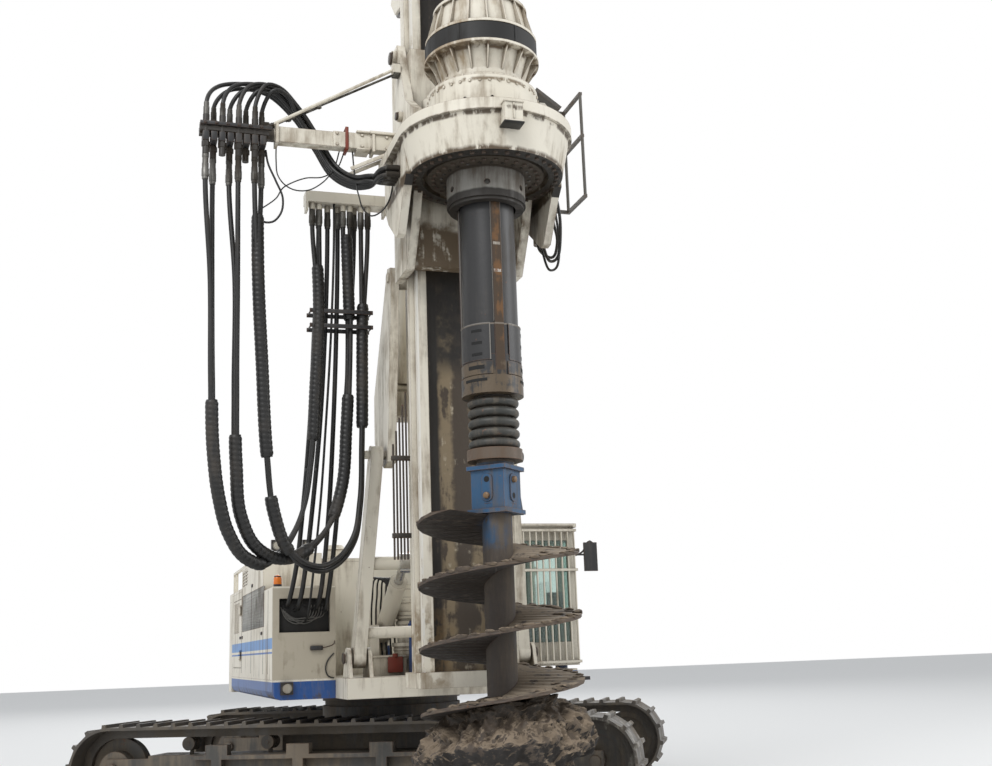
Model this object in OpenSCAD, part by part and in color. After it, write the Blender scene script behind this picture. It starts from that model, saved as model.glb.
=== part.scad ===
/* [Undercarriage] */
// Length of each track over its grousers
track_len = 6500; // [5900:50:6550]
// Height of each track over its grousers
track_h = 1000; // [900:10:1100]
// Width of a track shoe
shoe_w = 800; // [600:50:900]
// Distance between the outer faces of the two tracks
track_span = 4000; // [3900:50:4100]
// Shoes on one track
shoe_n = 66; // [56:1:72]
// Height of the bar across each shoe
grouser_h = 38; // [20:1:50]
// Thickness of a shoe plate
shoe_t = 32; // [20:1:40]
// Width of the link chain under the shoes
chain_w = 250; // [200:10:300]
// Depth of the link chain
chain_h = 100; // [80:5:120]
// Track rollers along the ground on each side
roller_n = 9; // [6:1:10]
// Diameter of a track roller
roller_d = 220; // [180:5:240]
// Diameter of an upper carrier roller
carrier_d = 150; // [120:5:170]
// Width of a track frame
frame_w = 470; // [420:10:520]
// Angle between the tracks and the cross direction of the upper, as parked
heading = 29; // [0:1:60]
// Height of the underside of the deck above the ground
deck_z = 1230; // [1180:10:1300]
// Diameter of the slewing ring
slew_d = 1640; // [1400:20:1800]

/* [Upper machine] */
// Half width of the upper machine
upper_half = 1725; // [1650:5:1800]
// Depth of the deck frame
deck_t = 210; // [180:10:260]
// Distance from slewing axis to the front of the house
house_front = 2000; // [1900:10:2100]
// Distance from slewing axis to the tail
tail = 3200; // [3000:10:3400]
// Length of the counterweight, front to back
cw_len = 620; // [500:10:700]
// Height of the counterweight above the deck underside
cw_h = 1250; // [1000:10:1350]
// Wall thickness of the house panels
panel_t = 40; // [20:1:60]
// Roof height of the front locker of the house
locker_z = 2420; // [2300:10:2500]
// Roof height of the rear part of the house
rear_roof_z = 2590; // [2500:10:2650]
// Roof height of the raised middle part of the house
mid_roof_z = 2850; // [2700:10:2950]
// Front of the raised middle part, behind the slewing axis when positive
mid_front_y = -1100; // [-1200:10:-900]
// Rear of the raised middle part
mid_rear_y = 1255; // [1000:5:1500]
// Inner side of the right front locker, from the centre line
locker_in = 1050; // [1000:10:1150]
// Front of the engine bay wall in the middle of the machine
bay_y = -300; // [-400:10:0]

/* [Cab] */
// Width of the cab
cab_w = 900; // [860:5:920]
// Front of the cab, ahead of the slewing axis
cab_front = 2150; // [2100:10:2250]
// Length of the cab
cab_len = 1650; // [1500:10:1700]
// Height of the cab
cab_h = 1510; // [1450:10:1600]
// Wall thickness of the cab
cab_t = 45; // [35:1:60]
// Diameter of a guard bar in front of the cab
bar_d = 22; // [16:1:30]
// Upright guard bars in front of the cab
bar_n = 12; // [8:1:14]

/* [Boom and bracket] */
// Boom foot pin ahead of the slewing axis
foot_y = 2500; // [2450:5:2560]
// Height of the boom foot pin
foot_z = 1640; // [1600:5:1700]
// Boom foot pins from the centre line
foot_x = 900; // [880:5:940]
// Boom head pin ahead of the slewing axis
head_y = 2750; // [2700:5:2780]
// Height of the boom head pin
head_z = 3740; // [3600:10:3850]
// Boom head pins from the centre line
head_x = 740; // [730:5:780]
// Width of a boom arm
arm_w = 130; // [110:5:150]
// Diameter of the boom and mast pins
pin_d = 90; // [70:5:110]
// Mast pivot pin ahead of the slewing axis
pivot_y = 3050; // [3030:5:3080]
// Height of the mast pivot pin
pivot_z = 5620; // [5400:10:5800]
// Upper pin of the steady link, back from and above the boom head pin
link_dy = 400; // [350:10:450]
// Height of the upper pin of the steady link above the boom head pin
link_dz = 310; // [250:10:350]
// Bore of the luffing cylinders
luff_d = 150; // [120:5:170]
// Bore of the mast tilting cylinders
tilt_d = 140; // [120:5:160]
// Running clearance of a pin in its eye, on the radius
pin_gap = 0.4; // [0.2:0.1:0.8]
// Play of a luffing rod's eye on the boom tube, on the radius
luff_play = 2.4; // [2:0.1:4]
// Play of a tilting rod's eye on its mast pin, on the radius
tilt_play = 5; // [4.6:0.1:6]

/* [Mast] */
// Width of the mast box
mast_w = 840; // [780:10:900]
// Depth of the mast box
mast_d = 600; // [540:10:640]
// Plate thickness of the mast box
mast_t = 20; // [12:1:30]
// Front face of the mast rails ahead of the slewing axis
rail_y = 3600; // [3550:10:3650]
// Width of a mast rail
rail_w = 110; // [90:5:130]
// Height of the foot of the mast above the ground
mast_z0 = 1480; // [1400:10:1600]
// Height of the flange between the lower and the upper mast
mast_z1 = 10400; // [9800:50:11000]
// Top of the upper mast
mast_z2 = 19900; // [18500:50:20500]
// Diameter of a rope sheave at the mast head
sheave_d = 640; // [500:10:720]
// Diameter of a winch drum
drum_d = 460; // [400:10:520]
// Diameter of the hoist rope
rope_d = 28; // [20:1:34]

/* [Rotary drive and kelly] */
// Kelly axis ahead of the slewing axis
kelly_y = 4600; // [4550:10:4700]
// Outer diameter of the kelly tube
kelly_d = 530; // [500:5:560]
// Wall of the kelly tube
kelly_t = 25; // [16:1:40]
// Lower end of the outer kelly tube
kelly_z0 = 3990; // [3900:10:4100]
// Length of the outer kelly tube
kelly_len = 10700; // [9500:50:11500]
// Diameter of the lower rim of the rotary drive
rotary_d = 1520; // [1400:10:1600]
// Underside of the rotary drive above the ground
rotary_z = 6180; // [6100:10:6300]
// Diameter of the grey drive collar
collar_d = 770; // [700:5:820]
// Length of the hose arm on the rotary sledge
hose_arm_len = 1300; // [1200:20:1400]
// Height of the hose arm above the ground
hose_arm_z = 6850; // [6700:10:7000]

/* [Auger] */
// Diameter of the auger
auger_d = 1480; // [1300:10:1500]
// Rise of the flight in one turn
auger_pitch = 565; // [450:5:620]
// Diameter of the auger core
core_d = 280; // [240:5:320]
// Thickness of the flight plate
flight_t = 30; // [20:1:40]
// Top of the flight above the ground
auger_top = 2880; // [2800:10:2885]
// Lower end of the flight above the ground
auger_low = 300; // [250:10:400]
// Radius of the clay that sticks to the lowest turns
clay_r = 850; // [760:10:900]
// Underside of that clay above the ground
clay_z = 400; // [380:5:420]

/* [Hidden] */
$fn = 64;

// Track loop, worked out from its length and height
tip_r = track_h / 2;
plate_r = tip_r - grouser_h;
link_r = plate_r - shoe_t;
wheel_r = link_r - chain_h;
axle_x = track_len / 2 - tip_r;
track_y = track_span / 2 - shoe_w / 2;
loop_len = 4 * axle_x + 2 * PI * plate_r;
shoe_pitch = loop_len / shoe_n;
seat_gap = 0.3;
roller_z = tip_r - wheel_r + roller_d / 2 + seat_gap;
carrier_z = tip_r + wheel_r - carrier_d / 2 - seat_gap;
roller_w = 190;
shaft_d = 60;
web_t = 35;
frame_top = 640;
frame_mid = 430;
frame_x = axle_x - 430;
roller_x = frame_x - 60;
slab_w = 110;
slab_x = 1750;
lug_x = 1000;
lug_y = 260;
lug_t = 60;
lug_hole = 70;
ring_gap = 0.5;
ring_lower_z = deck_z - 150;

// Upper machine
deck_top = deck_z + deck_t;
nose_y = foot_y + 180;
nose_half = foot_x + 150;
edge_r = 90;
lug_gap = 22;
boss_w = 40;
box_front = -1940;
box_top = deck_top + 220;
motor_x = -190;
motor_y = -1720;
tail_cut = 220;

// Rings of the slewing motor: start above the box, height, diameter
motor_rings = [[0, 90, 300], [89, 41, 340], [129, 200, 220], [328, 41, 250], [368, 60, 215],
    [427, 41, 250], [467, 160, 205], [626, 90, 180], [715, 60, 120]];
cw_front = tail - cw_len;
door_gap = 6;
hinge_d = 36;
hinge_pin = 18;
hinge_out = 20;
service_w = 1050;
service_z0 = deck_top + 120;
service_h = 900;
service_y0 = 1300;
grille_y0 = -1220;
grille_z0 = 2020;
grille_z1 = 2480;
service_hinge_z = [service_z0 + 160, service_z0 + service_h - 160];

// Grilles of a side wall of the engine house: start and end along it, lower and upper edge
side_grilles = [[bay_y, service_y0 - 90, grille_z0, grille_z1], [540, 1170, 2600, 2790]];

// Cab
cab_out = upper_half - 25;
cab_in = cab_out - cab_w;
cab_z = deck_top + 40;
cab_top = cab_z + cab_h;
cab_rear = -cab_front + cab_len;
cab_door_y0 = -cab_front + 420;
cab_door_y1 = cab_rear - 160;
seat_x = (cab_in + cab_out) / 2;
seat_y = -cab_front + 530;
cab_hinge_z = [cab_z + 260, cab_z + 1150];

lamp_w = 130;
lamp_in = 150;

// Boom parallelogram
link_top = [-(head_y - link_dy), head_z + link_dz];
link_low = [-(foot_y - link_dy), foot_z + link_dz];
boom_dir = [-(head_y - foot_y), head_z - foot_z];
boom_len = norm(boom_dir);
luff_eye = [-foot_y + boom_dir[0] * 0.46, foot_z + boom_dir[1] * 0.46];
luff_foot = [-1150, deck_top + 260];
luff_x = 420;
tilt_foot = [-2330, 4560];
tilt_eye = [-2760, 7150];
tilt_x = 330;
luff_ear = luff_d / 2 + 45;
tilt_ear = tilt_d / 2 + 45;

// Mast
rail_t = 110;
mast_front = -(rail_y - rail_t);
mast_back = mast_front + mast_d;
head_sheave_z = mast_z2 + 800;
front_sheave_y = -kelly_y + sheave_d / 2;
winch_y = -2420;
rope_clear = 6;
rear_sheave_y = winch_y + drum_d / 2 + rope_clear - seat_gap - sheave_d / 2;
main_winch_z = 8250;
aux_winch_z = 9450;
rope_x = 0;
aux_x = 190;

// Sledge and rotary drive
shoe_gap = 5;
sledge_in = mast_w / 2 + rail_w + shoe_gap;
plate_t = 90;
sledge_low = 5480;
sledge_top = 8100;

// Bosses and pins on the sides of the sledge: place along the machine, height, diameter
yoke_pins = [[-3490, 7970, 170], [-3740, 7180, 110], [-3700, 6010, 110]];
drum_h = 470;
drum_flange = 110;
drum_flare = 210;
ring_top = 870;
drum_top = rotary_z + drum_h;
drum_r = (rotary_d + drum_flare) / 2;
cheek_in = sledge_in + plate_t + seat_gap;
cheek_t = 80;
cheek_x = drum_r - 105;
casing_back = -3650;
guard_x = rotary_d / 2 + 500;
guard_y = -kelly_y + 1000;
filter_x = rotary_d / 2 + 140;
crowd_d = 80;
crowd_barrel_d = 130;
crowd_y = mast_front - crowd_barrel_d / 2 - 10;
crowd_rod_z0 = sledge_top - 300;
crowd_barrel_z0 = 11200;

// Kelly string
kelly_top = kelly_z0 + kelly_len;
key_t = 16;
key_w = 90;
sleeve_r = norm([kelly_d / 2 + key_t, key_w / 2]) + pin_gap;
swivel_z = kelly_top + 200;
rib_n = 18;
spring_n = 5;
box_w = 340;
box_z = 2930;
box_h = 400;
inner_d = 350;

// Hand-chosen points of the hoses, each list from its upper end down
loop_1 = [[-2550, -3640, 6560], [-2550, -3640, 6380], [-2540, -3680, 5300], [-2520, -3700, 4300],
    [-2490, -3680, 3600], [-2430, -3640, 3180], [-2330, -3580, 2850], [-2180, -3500, 2640],
    [-2000, -3420, 2570], [-1820, -3320, 2680], [-1660, -3230, 2900], [-1560, -3160, 3150],
    [-1480, -3100, 3600], [-1430, -3080, 4400], [-1390, -3060, 5200], [-1390, -3060, 6200],
    [-1390, -3060, 6330]];
loop_2 = [[-2310, -3760, 6560], [-2310, -3760, 6380], [-2300, -3740, 5300], [-2290, -3700, 4200],
    [-2270, -3660, 3500], [-2210, -3600, 3000], [-2080, -3530, 2750], [-1900, -3440, 2640],
    [-1700, -3340, 2640], [-1480, -3230, 2760], [-1280, -3140, 3000], [-1160, -3100, 3350],
    [-1100, -3080, 4000], [-1060, -3060, 5000], [-1060, -3060, 6200], [-1060, -3060, 6330]];
loop_3 = [[-2150, -3760, 6560], [-2150, -3760, 6380], [-2110, -3740, 5400], [-2060, -3700, 4500],
    [-2000, -3650, 3600], [-1920, -3580, 3050], [-1790, -3500, 2730], [-1610, -3420, 2570],
    [-1420, -3340, 2530], [-1230, -3250, 2620], [-1070, -3170, 2830], [-990, -3110, 3200],
    [-960, -3080, 3800], [-940, -3060, 5000], [-940, -3060, 6200], [-940, -3060, 6330]];
supply_1 = [[-1290, -2990, 6330], [-1290, -2990, 6200], [-1310, -2930, 5000], [-1350, -2820, 4000],
    [-1400, -2660, 3200], [-1440, -2460, 2600], [-1460, -2260, 2300], [-1470, -2080, 2180],
    [-1470, -1920, 2180]];
supply_2 = [[-1180, -2990, 6330], [-1180, -2990, 6200], [-1190, -2930, 5000], [-1210, -2830, 4000],
    [-1230, -2680, 3200], [-1250, -2470, 2600], [-1260, -2270, 2300], [-1270, -2080, 2180],
    [-1270, -1920, 2180]];
hose_d = 52;
stub_d = 66;
stub_h = 71;
manifold_x0 = -2690;
manifold_x1 = -2010;
manifold_stub_x = [for (i = [0:7]) -2630 + i * 80];
manifold_stub_y = [-3760, -3640];
loop_stubs = [[-1465, -3060], [-1390, -3060], [-1135, -3060], [-1060, -3060], [-940, -3060], [-865, -3060]];
supply_stubs = [[-1385, -2985], [-1290, -2990], [-1180, -2990], [-1000, -2985]];

// Direction of the upper end of the flight
flight_start = 200;
flight_step = 15;
clay_mid = clay_z + 420;
clay_lean = 8;

function unit(v) = v / norm(v);
function turned(s, c) = [s[0] * cos(c) - s[1] * sin(c), s[0] * sin(c) + s[1] * cos(c)];

// A point and its outward direction at distance s along the track loop
function loop_at(s, r) =
    let (straight = 2 * axle_x, arc = PI * r, u = s % (2 * straight + 2 * arc))
    u < straight ? [[-axle_x + u, r], [0, 1]]
    : u < straight + arc ? let (g = 90 - (u - straight) / arc * 180)
        [[axle_x + r * cos(g), r * sin(g)], [cos(g), sin(g)]]
    : u < 2 * straight + arc ? [[axle_x - (u - straight - arc), -r], [0, -1]]
    : let (g = -90 - (u - 2 * straight - arc) / arc * 180)
        [[-axle_x + r * cos(g), r * sin(g)], [cos(g), sin(g)]];

function loop_point(s, rise) = let (p = loop_at(s, plate_r)) p[0] + p[1] * rise;

// Outline of the shoes: a plate, then a bar that stands up at its end
shoe_points = [for (i = [0:shoe_n - 1], q = [[0.05, 0], [0.68, 0], [0.72, 1], [0.90, 1], [0.94, 0]])
    loop_point((i + q[0]) * shoe_pitch, q[1] * grouser_h)];

// A tube swept along points that lie near one upright plane
module hose(points, d, side) {
    n = len(points);
    sides = 8;
    ring = [for (i = [0:n - 1]) let (
            t = unit(points[min(i + 1, n - 1)] - points[max(i - 1, 0)]),
            a = unit(cross(t, side)), b = cross(t, a))
        for (k = [0:sides - 1]) let (g = 360 * k / sides)
            points[i] + d / 2 * (a * cos(g) + b * sin(g))];
    walls = [for (i = [0:n - 2], k = [0:sides - 1]) let (m = (k + 1) % sides)
        [i * sides + k, (i + 1) * sides + k, (i + 1) * sides + m, i * sides + m]];
    caps = [[for (k = [0:sides - 1]) k], [for (k = [sides - 1:-1:0]) (n - 1) * sides + k]];
    polyhedron(points = ring, faces = concat(walls, caps));
}

// A plate in the XZ plane from y0, t thick, drawn by its outline
module xz_plate(y0, t, outline) {
    translate([0, y0 + t, 0]) rotate([90, 0, 0]) linear_extrude(height = t) polygon(outline);
}

// Places a part in the undercarriage, whose long way is turned from the upper
module under() {
    rotate([0, 0, -heading]) children();
}

// A cylinder lying along X, centred at x
module x_rod(x, y, z, d, len) {
    translate([x - len / 2, y, z]) rotate([0, 90, 0]) cylinder(d = d, h = len);
}

// A plate in the YZ plane from x0, t thick, drawn by its outline
module yz_plate(x0, t, outline) {
    translate([x0, 0, 0]) rotate([90, 0, 90]) linear_extrude(height = t) polygon(outline);
}

// A box given by its lower and upper corners
module block(a, b) {
    translate(a) cube(b - a);
}

// Pins of an upright hinge at two heights, with ears that reach the wall at y side q
module hinge_pins(x, y, heights, s, q) {
    for (z = heights) {
        translate([x, y, z - 70]) cylinder(d = hinge_pin, h = 140);
        for (e = [-70, 50]) block([min(x, x - s * 16) - 8, min(y, y + q * 45), z + e],
            [max(x, x - s * 16) + 8, max(y, y + q * 45), z + e + 20]);
    }
}

// Knuckles of a door on those pins, with straps that reach the door at y side q
module hinge_knuckles(x, y, heights, s, q) {
    for (z = heights) difference() {
        union() {
            translate([x, y, z - 49]) cylinder(d = hinge_d, h = 98);
            block([min(x, x - s * 16) - 6, min(y, y + q * 60), z - 49],
                [max(x, x - s * 16) + 6, max(y, y + q * 60), z + 49]);
        }
        translate([x, y, z - 60]) cylinder(d = hinge_pin + 2 * pin_gap, h = 120);
    }
}

// Both sides of the machine: a child at the right and its mirror image at the left
module both_sides() {
    children();
    mirror([1, 0, 0]) children();
}

// Both tracks
module both_tracks() {
    for (s = [-1, 1]) translate([0, s * track_y, 0]) children();
}

module stadium(r, x, w) {
    rotate([90, 0, 0]) translate([0, 0, -w / 2]) linear_extrude(height = w) union() {
        square([2 * x, 2 * r], center = true);
        for (s = [-1, 1]) translate([s * x, 0]) circle(r = r);
    }
}

module track_loop() {
    translate([0, 0, tip_r]) {
        difference() {
            rotate([90, 0, 0]) translate([0, 0, -shoe_w / 2])
                linear_extrude(height = shoe_w) polygon(shoe_points);
            stadium(link_r, axle_x, shoe_w + 2);
        }
        difference() {
            stadium(link_r + 1, axle_x, chain_w);
            stadium(wheel_r, axle_x, chain_w + 2);
        }
    }
}

module car_body() color("dimgray") under() {
    reach = track_y - frame_w / 2;
    for (s = [-1, 1], q = [-1, 1]) difference() {
        block([min(s * 899, s * lug_x) - (s < 0 ? 90 : 0), q * lug_y - 90, frame_mid],
            [max(s * 899, s * lug_x) + (s > 0 ? 90 : 0), q * lug_y + 90, frame_mid + lug_t]);
        translate([s * lug_x, q * lug_y, frame_mid - 1]) cylinder(d = lug_hole, h = lug_t + 2);
    }
    difference() {
        union() {
            block([-900, -reach, frame_mid], [900, reach, ring_lower_z - 210]);
            translate([0, 0, ring_lower_z - 210]) cylinder(d = slew_d + 60, h = 210);
        }
        translate([0, 0, frame_mid - 1]) cylinder(d = 700, h = deck_z);
        for (s = [-1, 1], q = [-1, 1])
            translate([s * 900, q * reach * 0.62, frame_mid - 1]) cylinder(d = 760, h = deck_z);
    }
}

module track_frame(out) {
    difference() {
        union() {
            block([-frame_x, -frame_w / 2, frame_mid], [frame_x, frame_w / 2, frame_top]);
            for (s = [-1, 1]) {
                block([-frame_x, s * (frame_w / 2 - web_t / 2) - web_t / 2, 215],
                    [frame_x, s * (frame_w / 2 - web_t / 2) + web_t / 2, frame_mid]);
                block([-axle_x - 90, s * (frame_w / 2 - web_t / 2) - web_t / 2, tip_r - 110],
                    [axle_x + 90, s * (frame_w / 2 - web_t / 2) + web_t / 2, tip_r + 110]);
            }
        }
        for (i = [0:roller_n - 1])
            translate([roller_x * (2 * i / (roller_n - 1) - 1), -frame_w, roller_z])
                rotate([-90, 0, 0]) cylinder(d = shaft_d + 2 * seat_gap, h = 2 * frame_w);
        for (s = [-1, 1]) translate([s * axle_x, -frame_w, tip_r])
            rotate([-90, 0, 0]) cylinder(d = 120 + 2 * seat_gap, h = 2 * frame_w);
    }
    y0 = out > 0 ? frame_w / 2 - 1 : -frame_w / 2 - slab_w;
    block([-slab_x, y0, frame_top - 45], [slab_x, y0 + slab_w + 1, frame_top]);
    for (x = [-1450, -500, 450, 1400]) {
        block([x - 130, y0, frame_top - 1], [x + 130, y0 + slab_w + 1, frame_top + 110]);
        block([x - 60, y0, 330], [x + 60, y0 + slab_w + 1, frame_top - 44]);
    }
    for (x = [-1900, -950, 950, 1900]) {
        translate([x, -roller_w / 2 - 10, carrier_z]) rotate([-90, 0, 0])
            cylinder(d = 40, h = roller_w + 20);
        block([x - 20, -12, frame_top - 1], [x + 20, 12, carrier_z]);
    }
}

module track_frame_right() color("dimgray") under() translate([0, -track_y, 0]) track_frame(-1);
module track_frame_left() color("dimgray") under() translate([0, track_y, 0]) track_frame(1);
module track_right() color("gray") under() translate([0, -track_y, 0]) track_loop();
module track_left() color("gray") under() translate([0, track_y, 0]) track_loop();

module sprockets() color("dimgray") under() both_tracks() translate([-axle_x, 0, tip_r])
    rotate([90, 0, 0]) {
        translate([0, 0, -60]) cylinder(r = wheel_r - seat_gap, h = 120);
        translate([0, 0, -frame_w / 2 - 60]) cylinder(d = 119.4, h = frame_w + 120);
        translate([0, 0, -frame_w / 2 + web_t + 1]) cylinder(d = 380, h = frame_w - 2 * web_t - 2);
    }

module idlers() color("dimgray") under() both_tracks() translate([axle_x, 0, tip_r])
    rotate([90, 0, 0]) {
        difference() {
            translate([0, 0, -85]) cylinder(r = wheel_r - seat_gap, h = 170);
            for (s = [-1, 1]) translate([0, 0, s * 85]) rotate_extrude()
                translate([90, -30]) square([170, 60]);
        }
        translate([0, 0, -frame_w / 2 - 20]) cylinder(d = 119.4, h = frame_w + 40);
        translate([0, 0, -frame_w / 2 + web_t + 1]) cylinder(d = 200, h = frame_w - 2 * web_t - 2);
    }

module track_rollers() color("dimgray") under() both_tracks() {
    for (i = [0:roller_n - 1])
        translate([roller_x * (2 * i / (roller_n - 1) - 1), 0, roller_z]) rotate([90, 0, 0]) {
            for (s = [-1, 1]) translate([0, 0, s * 75 - 45]) cylinder(d = roller_d, h = 90);
            translate([0, 0, -frame_w / 2 - 10]) cylinder(d = shaft_d, h = frame_w + 20);
        }
    for (x = [-1900, -950, 950, 1900], s = [-1, 1])
        translate([x, s * (roller_w / 4 + 10), carrier_z]) rotate([90, 0, 0]) difference() {
            cylinder(d = carrier_d, h = roller_w / 2 - 10, center = true);
            cylinder(d = 40 + 2 * seat_gap, h = roller_w, center = true);
        }
}

module slew_ring() color("gray") difference() {
    union() {
        translate([0, 0, ring_lower_z + ring_gap]) cylinder(d = slew_d, h = deck_z - ring_lower_z - ring_gap);
        translate([0, 0, ring_lower_z + 60]) cylinder(d = slew_d + 60, h = 40);
    }
    translate([0, 0, ring_lower_z - 1]) cylinder(d = slew_d - 260, h = deck_z);
}

module upper_deck() color("royalblue") difference() {
    union() {
        xz_plate(-house_front, house_front + cw_front, [[-upper_half, deck_z + edge_r],
            [-upper_half + edge_r * 0.3, deck_z + edge_r * 0.3], [-upper_half + edge_r, deck_z],
            [upper_half - edge_r, deck_z], [upper_half - edge_r * 0.3, deck_z + edge_r * 0.3],
            [upper_half, deck_z + edge_r], [upper_half, deck_top], [-upper_half, deck_top]]);
        for (q = [-1, 1])
            yz_plate(q * 215 - 20, 40, [[link_low[0] - 150, deck_top],
                [link_low[0] - 80, link_low[1] + 70], [link_low[0] + 80, link_low[1] + 70],
                [link_low[0] + 150, deck_top - 1], [-house_front, deck_top - 1], [-house_front, deck_top]]);
        for (s = [-1, 1], q = [-1, 1])
            yz_plate(s * luff_x + q * luff_ear - 15, 30, [[luff_foot[0] - 150, deck_top - 1],
                [luff_foot[0] - 80, luff_foot[1] + 70], [luff_foot[0] + 80, luff_foot[1] + 70],
                [luff_foot[0] + 150, deck_top - 1]]);
        x_rod(0, link_low[0], link_low[1], pin_d, 520);
        for (x = [cab_in + 110, cab_out - 110], y = [-1850, cab_rear + 110])
            translate([x, y, deck_top - 1]) cylinder(d = 140, h = cab_z - deck_top + 1 - seat_gap);
        for (s = [-1, 1]) x_rod(s * luff_x, luff_foot[0], luff_foot[1], pin_d - 10, 2 * luff_ear + 90);
    }
    translate([0, 0, deck_z - 1]) cylinder(d = 700, h = deck_t + 2);
}

// Nose beam of the deck with the lugs and pins of the boom feet, and on the deck behind
// it a box with the stacked slewing motor and a valve block
module deck_nose() color("white") {
    block([-nose_half, -nose_y, deck_z], [nose_half, -house_front, deck_top]);
    for (s = [-1, 1]) {
        for (q = [-1, 1]) {
            x = s * foot_x + q * (arm_w / 2 + lug_gap + boss_w / 2);
            yz_plate(x - boss_w / 2, boss_w, [[-foot_y - 170, deck_top - 1], [-foot_y - 120, foot_z - 60],
                [-foot_y - 105, foot_z], [-foot_y + 105, foot_z], [-foot_y + 130, foot_z - 60],
                [-foot_y + 210, deck_top - 1]]);
            x_rod(x, -foot_y, foot_z, 210, boss_w);
        }
        x_rod(s * foot_x, -foot_y, foot_z, pin_d, arm_w + 170);
    }
    difference() {
        block([-620, box_front, deck_top], [620, box_front + 440, box_top]);
        block([-255, box_front - 1, deck_top + 50], [-185, box_front + 60, deck_top + 150]);
        translate([-220, box_front - 1, deck_top + 150]) rotate([-90, 0, 0]) cylinder(d = 70, h = 61);
    }
    block([-640, box_front - 15, box_top - 25], [640, box_front + 440, box_top]);
    translate([motor_x, motor_y, box_top - 1]) for (q = motor_rings)
        translate([0, 0, q[0]]) cylinder(d = q[2], h = q[1]);
    block([-635, motor_y - 90, box_top - 1], [-530, motor_y + 130, box_top + 330]);
}

module counterweight() color("white") {
    translate([0, 0, deck_z]) linear_extrude(height = cw_h) tail_plan();
}

// Plan of the tail, with slanting rear corners
module tail_plan() {
    polygon([[-upper_half, cw_front], [upper_half, cw_front], [upper_half, tail - tail_cut],
        [upper_half - tail_cut, tail], [-upper_half + tail_cut, tail], [-upper_half, tail - tail_cut]]);
}

// Right front locker of the house, open towards the hoses at its front, with a
// bulkhead that the hoses end on and a recess for the air grille at its side
module house_right() color("white") {
    block([-upper_half + panel_t - 1, -1920 + seat_gap, 1900], [-locker_in - panel_t + 1, -1880, 2330]);
    difference() {
        union() {
            block([-upper_half, -house_front, deck_top], [-locker_in, mid_front_y, locker_z]);
            block([-upper_half, mid_front_y, deck_top], [-locker_in, bay_y, mid_roof_z]);
        }
        block([-upper_half + panel_t, -house_front + panel_t, deck_top - 1],
            [-locker_in - panel_t, mid_front_y + 1, locker_z - panel_t]);
        block([-upper_half + panel_t, mid_front_y + panel_t, deck_top - 1],
            [-locker_in - panel_t, bay_y + 1, mid_roof_z - panel_t]);
        block([-upper_half + panel_t, mid_front_y - 1, deck_top - 1],
            [-locker_in - panel_t, mid_front_y + panel_t + 1, locker_z - panel_t]);
        block([-upper_half + 70, -house_front - 1, 1930],
            [-locker_in - 60, -house_front + panel_t + 1, 2290]);
        block([-upper_half - 1, grille_y0, grille_z0], [-upper_half + 12, bay_y + 1, grille_z1]);
    }
    grille_slats(-1, grille_y0, bay_y, grille_z0, grille_z1);
}

// Slats in a shallow recess of a side wall, with an upright bar each 300 mm
module grille_slats(s, y0, y1, z0, z1) {
    x0 = min(s * (upper_half - 4), s * (upper_half - 13));
    for (z = [z0 + 15:40:z1 - 15]) block([x0, y0, z], [x0 + 9, y1, z + 16]);
    for (y = [y0 + 280:300:y1 - 20]) block([x0, y, z0 - 1], [x0 + 9, y + 20, z1 + 1]);
}

// Walls of the engine house, with an opening on each side for its service door
module house_main() color("white") {
    difference() {
        union() {
            block([-upper_half, bay_y, deck_top], [upper_half, mid_rear_y, mid_roof_z - panel_t]);
            block([-upper_half, mid_rear_y, deck_top], [upper_half, cw_front, rear_roof_z - panel_t]);
        }
        block([-upper_half + panel_t, bay_y + panel_t, deck_top - 1],
            [upper_half - panel_t, mid_rear_y - panel_t, mid_roof_z]);
        block([-upper_half + panel_t, mid_rear_y - panel_t - 1, deck_top - 1],
            [upper_half - panel_t, cw_front - panel_t, rear_roof_z - panel_t + 1]);
        for (s = [-1, 1]) translate([s * (upper_half - panel_t / 2), 0, 0])
            block([-panel_t, service_y0, service_z0],
                [panel_t, service_y0 + service_w, service_z0 + service_h]);
        for (s = [-1, 1], q = side_grilles) translate([s * upper_half, 0, 0])
            block([-12, q[0] - 1, q[2]], [12, q[1], q[3]]);
    }
    for (s = [-1, 1], q = side_grilles) grille_slats(s, q[0], q[1], q[2], q[3]);
    for (s = [-1, 1]) hinge_pins(s * (upper_half + hinge_out), service_y0, service_hinge_z, s, -1);
}

// Roof sheets, a silencer, an intake hood and edge rails on them
module house_roof() color("white") {
    translate([500, 700, mid_roof_z - 1]) cylinder(d = 130, h = 320);
    translate([500, 700, mid_roof_z - 1]) cylinder(d = 240, h = 60);
    translate([-600, 600, mid_roof_z - 1]) cylinder(d = 260, h = 180);
    translate([-600, 600, mid_roof_z + 178]) cylinder(d1 = 300, d2 = 200, h = 60);
    for (s = [-1, 1]) {
        for (y = [mid_rear_y + 80, cw_front, tail - tail_cut - 40])
            translate([s * (upper_half - 60), y, rear_roof_z - 1]) cylinder(d = 34, h = 300);
        block([s * (upper_half - 60) - 17, mid_rear_y + 80, rear_roof_z + 280],
            [s * (upper_half - 60) + 17, tail - tail_cut - 23, rear_roof_z + 314]);
    }
    block([-upper_half, bay_y, mid_roof_z - panel_t], [upper_half, mid_rear_y, mid_roof_z]);
    block([-upper_half, mid_rear_y, rear_roof_z - panel_t], [upper_half, cw_front + 1, rear_roof_z]);
    translate([0, 0, deck_z + cw_h]) linear_extrude(height = rear_roof_z - deck_z - cw_h) tail_plan();
}

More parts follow.
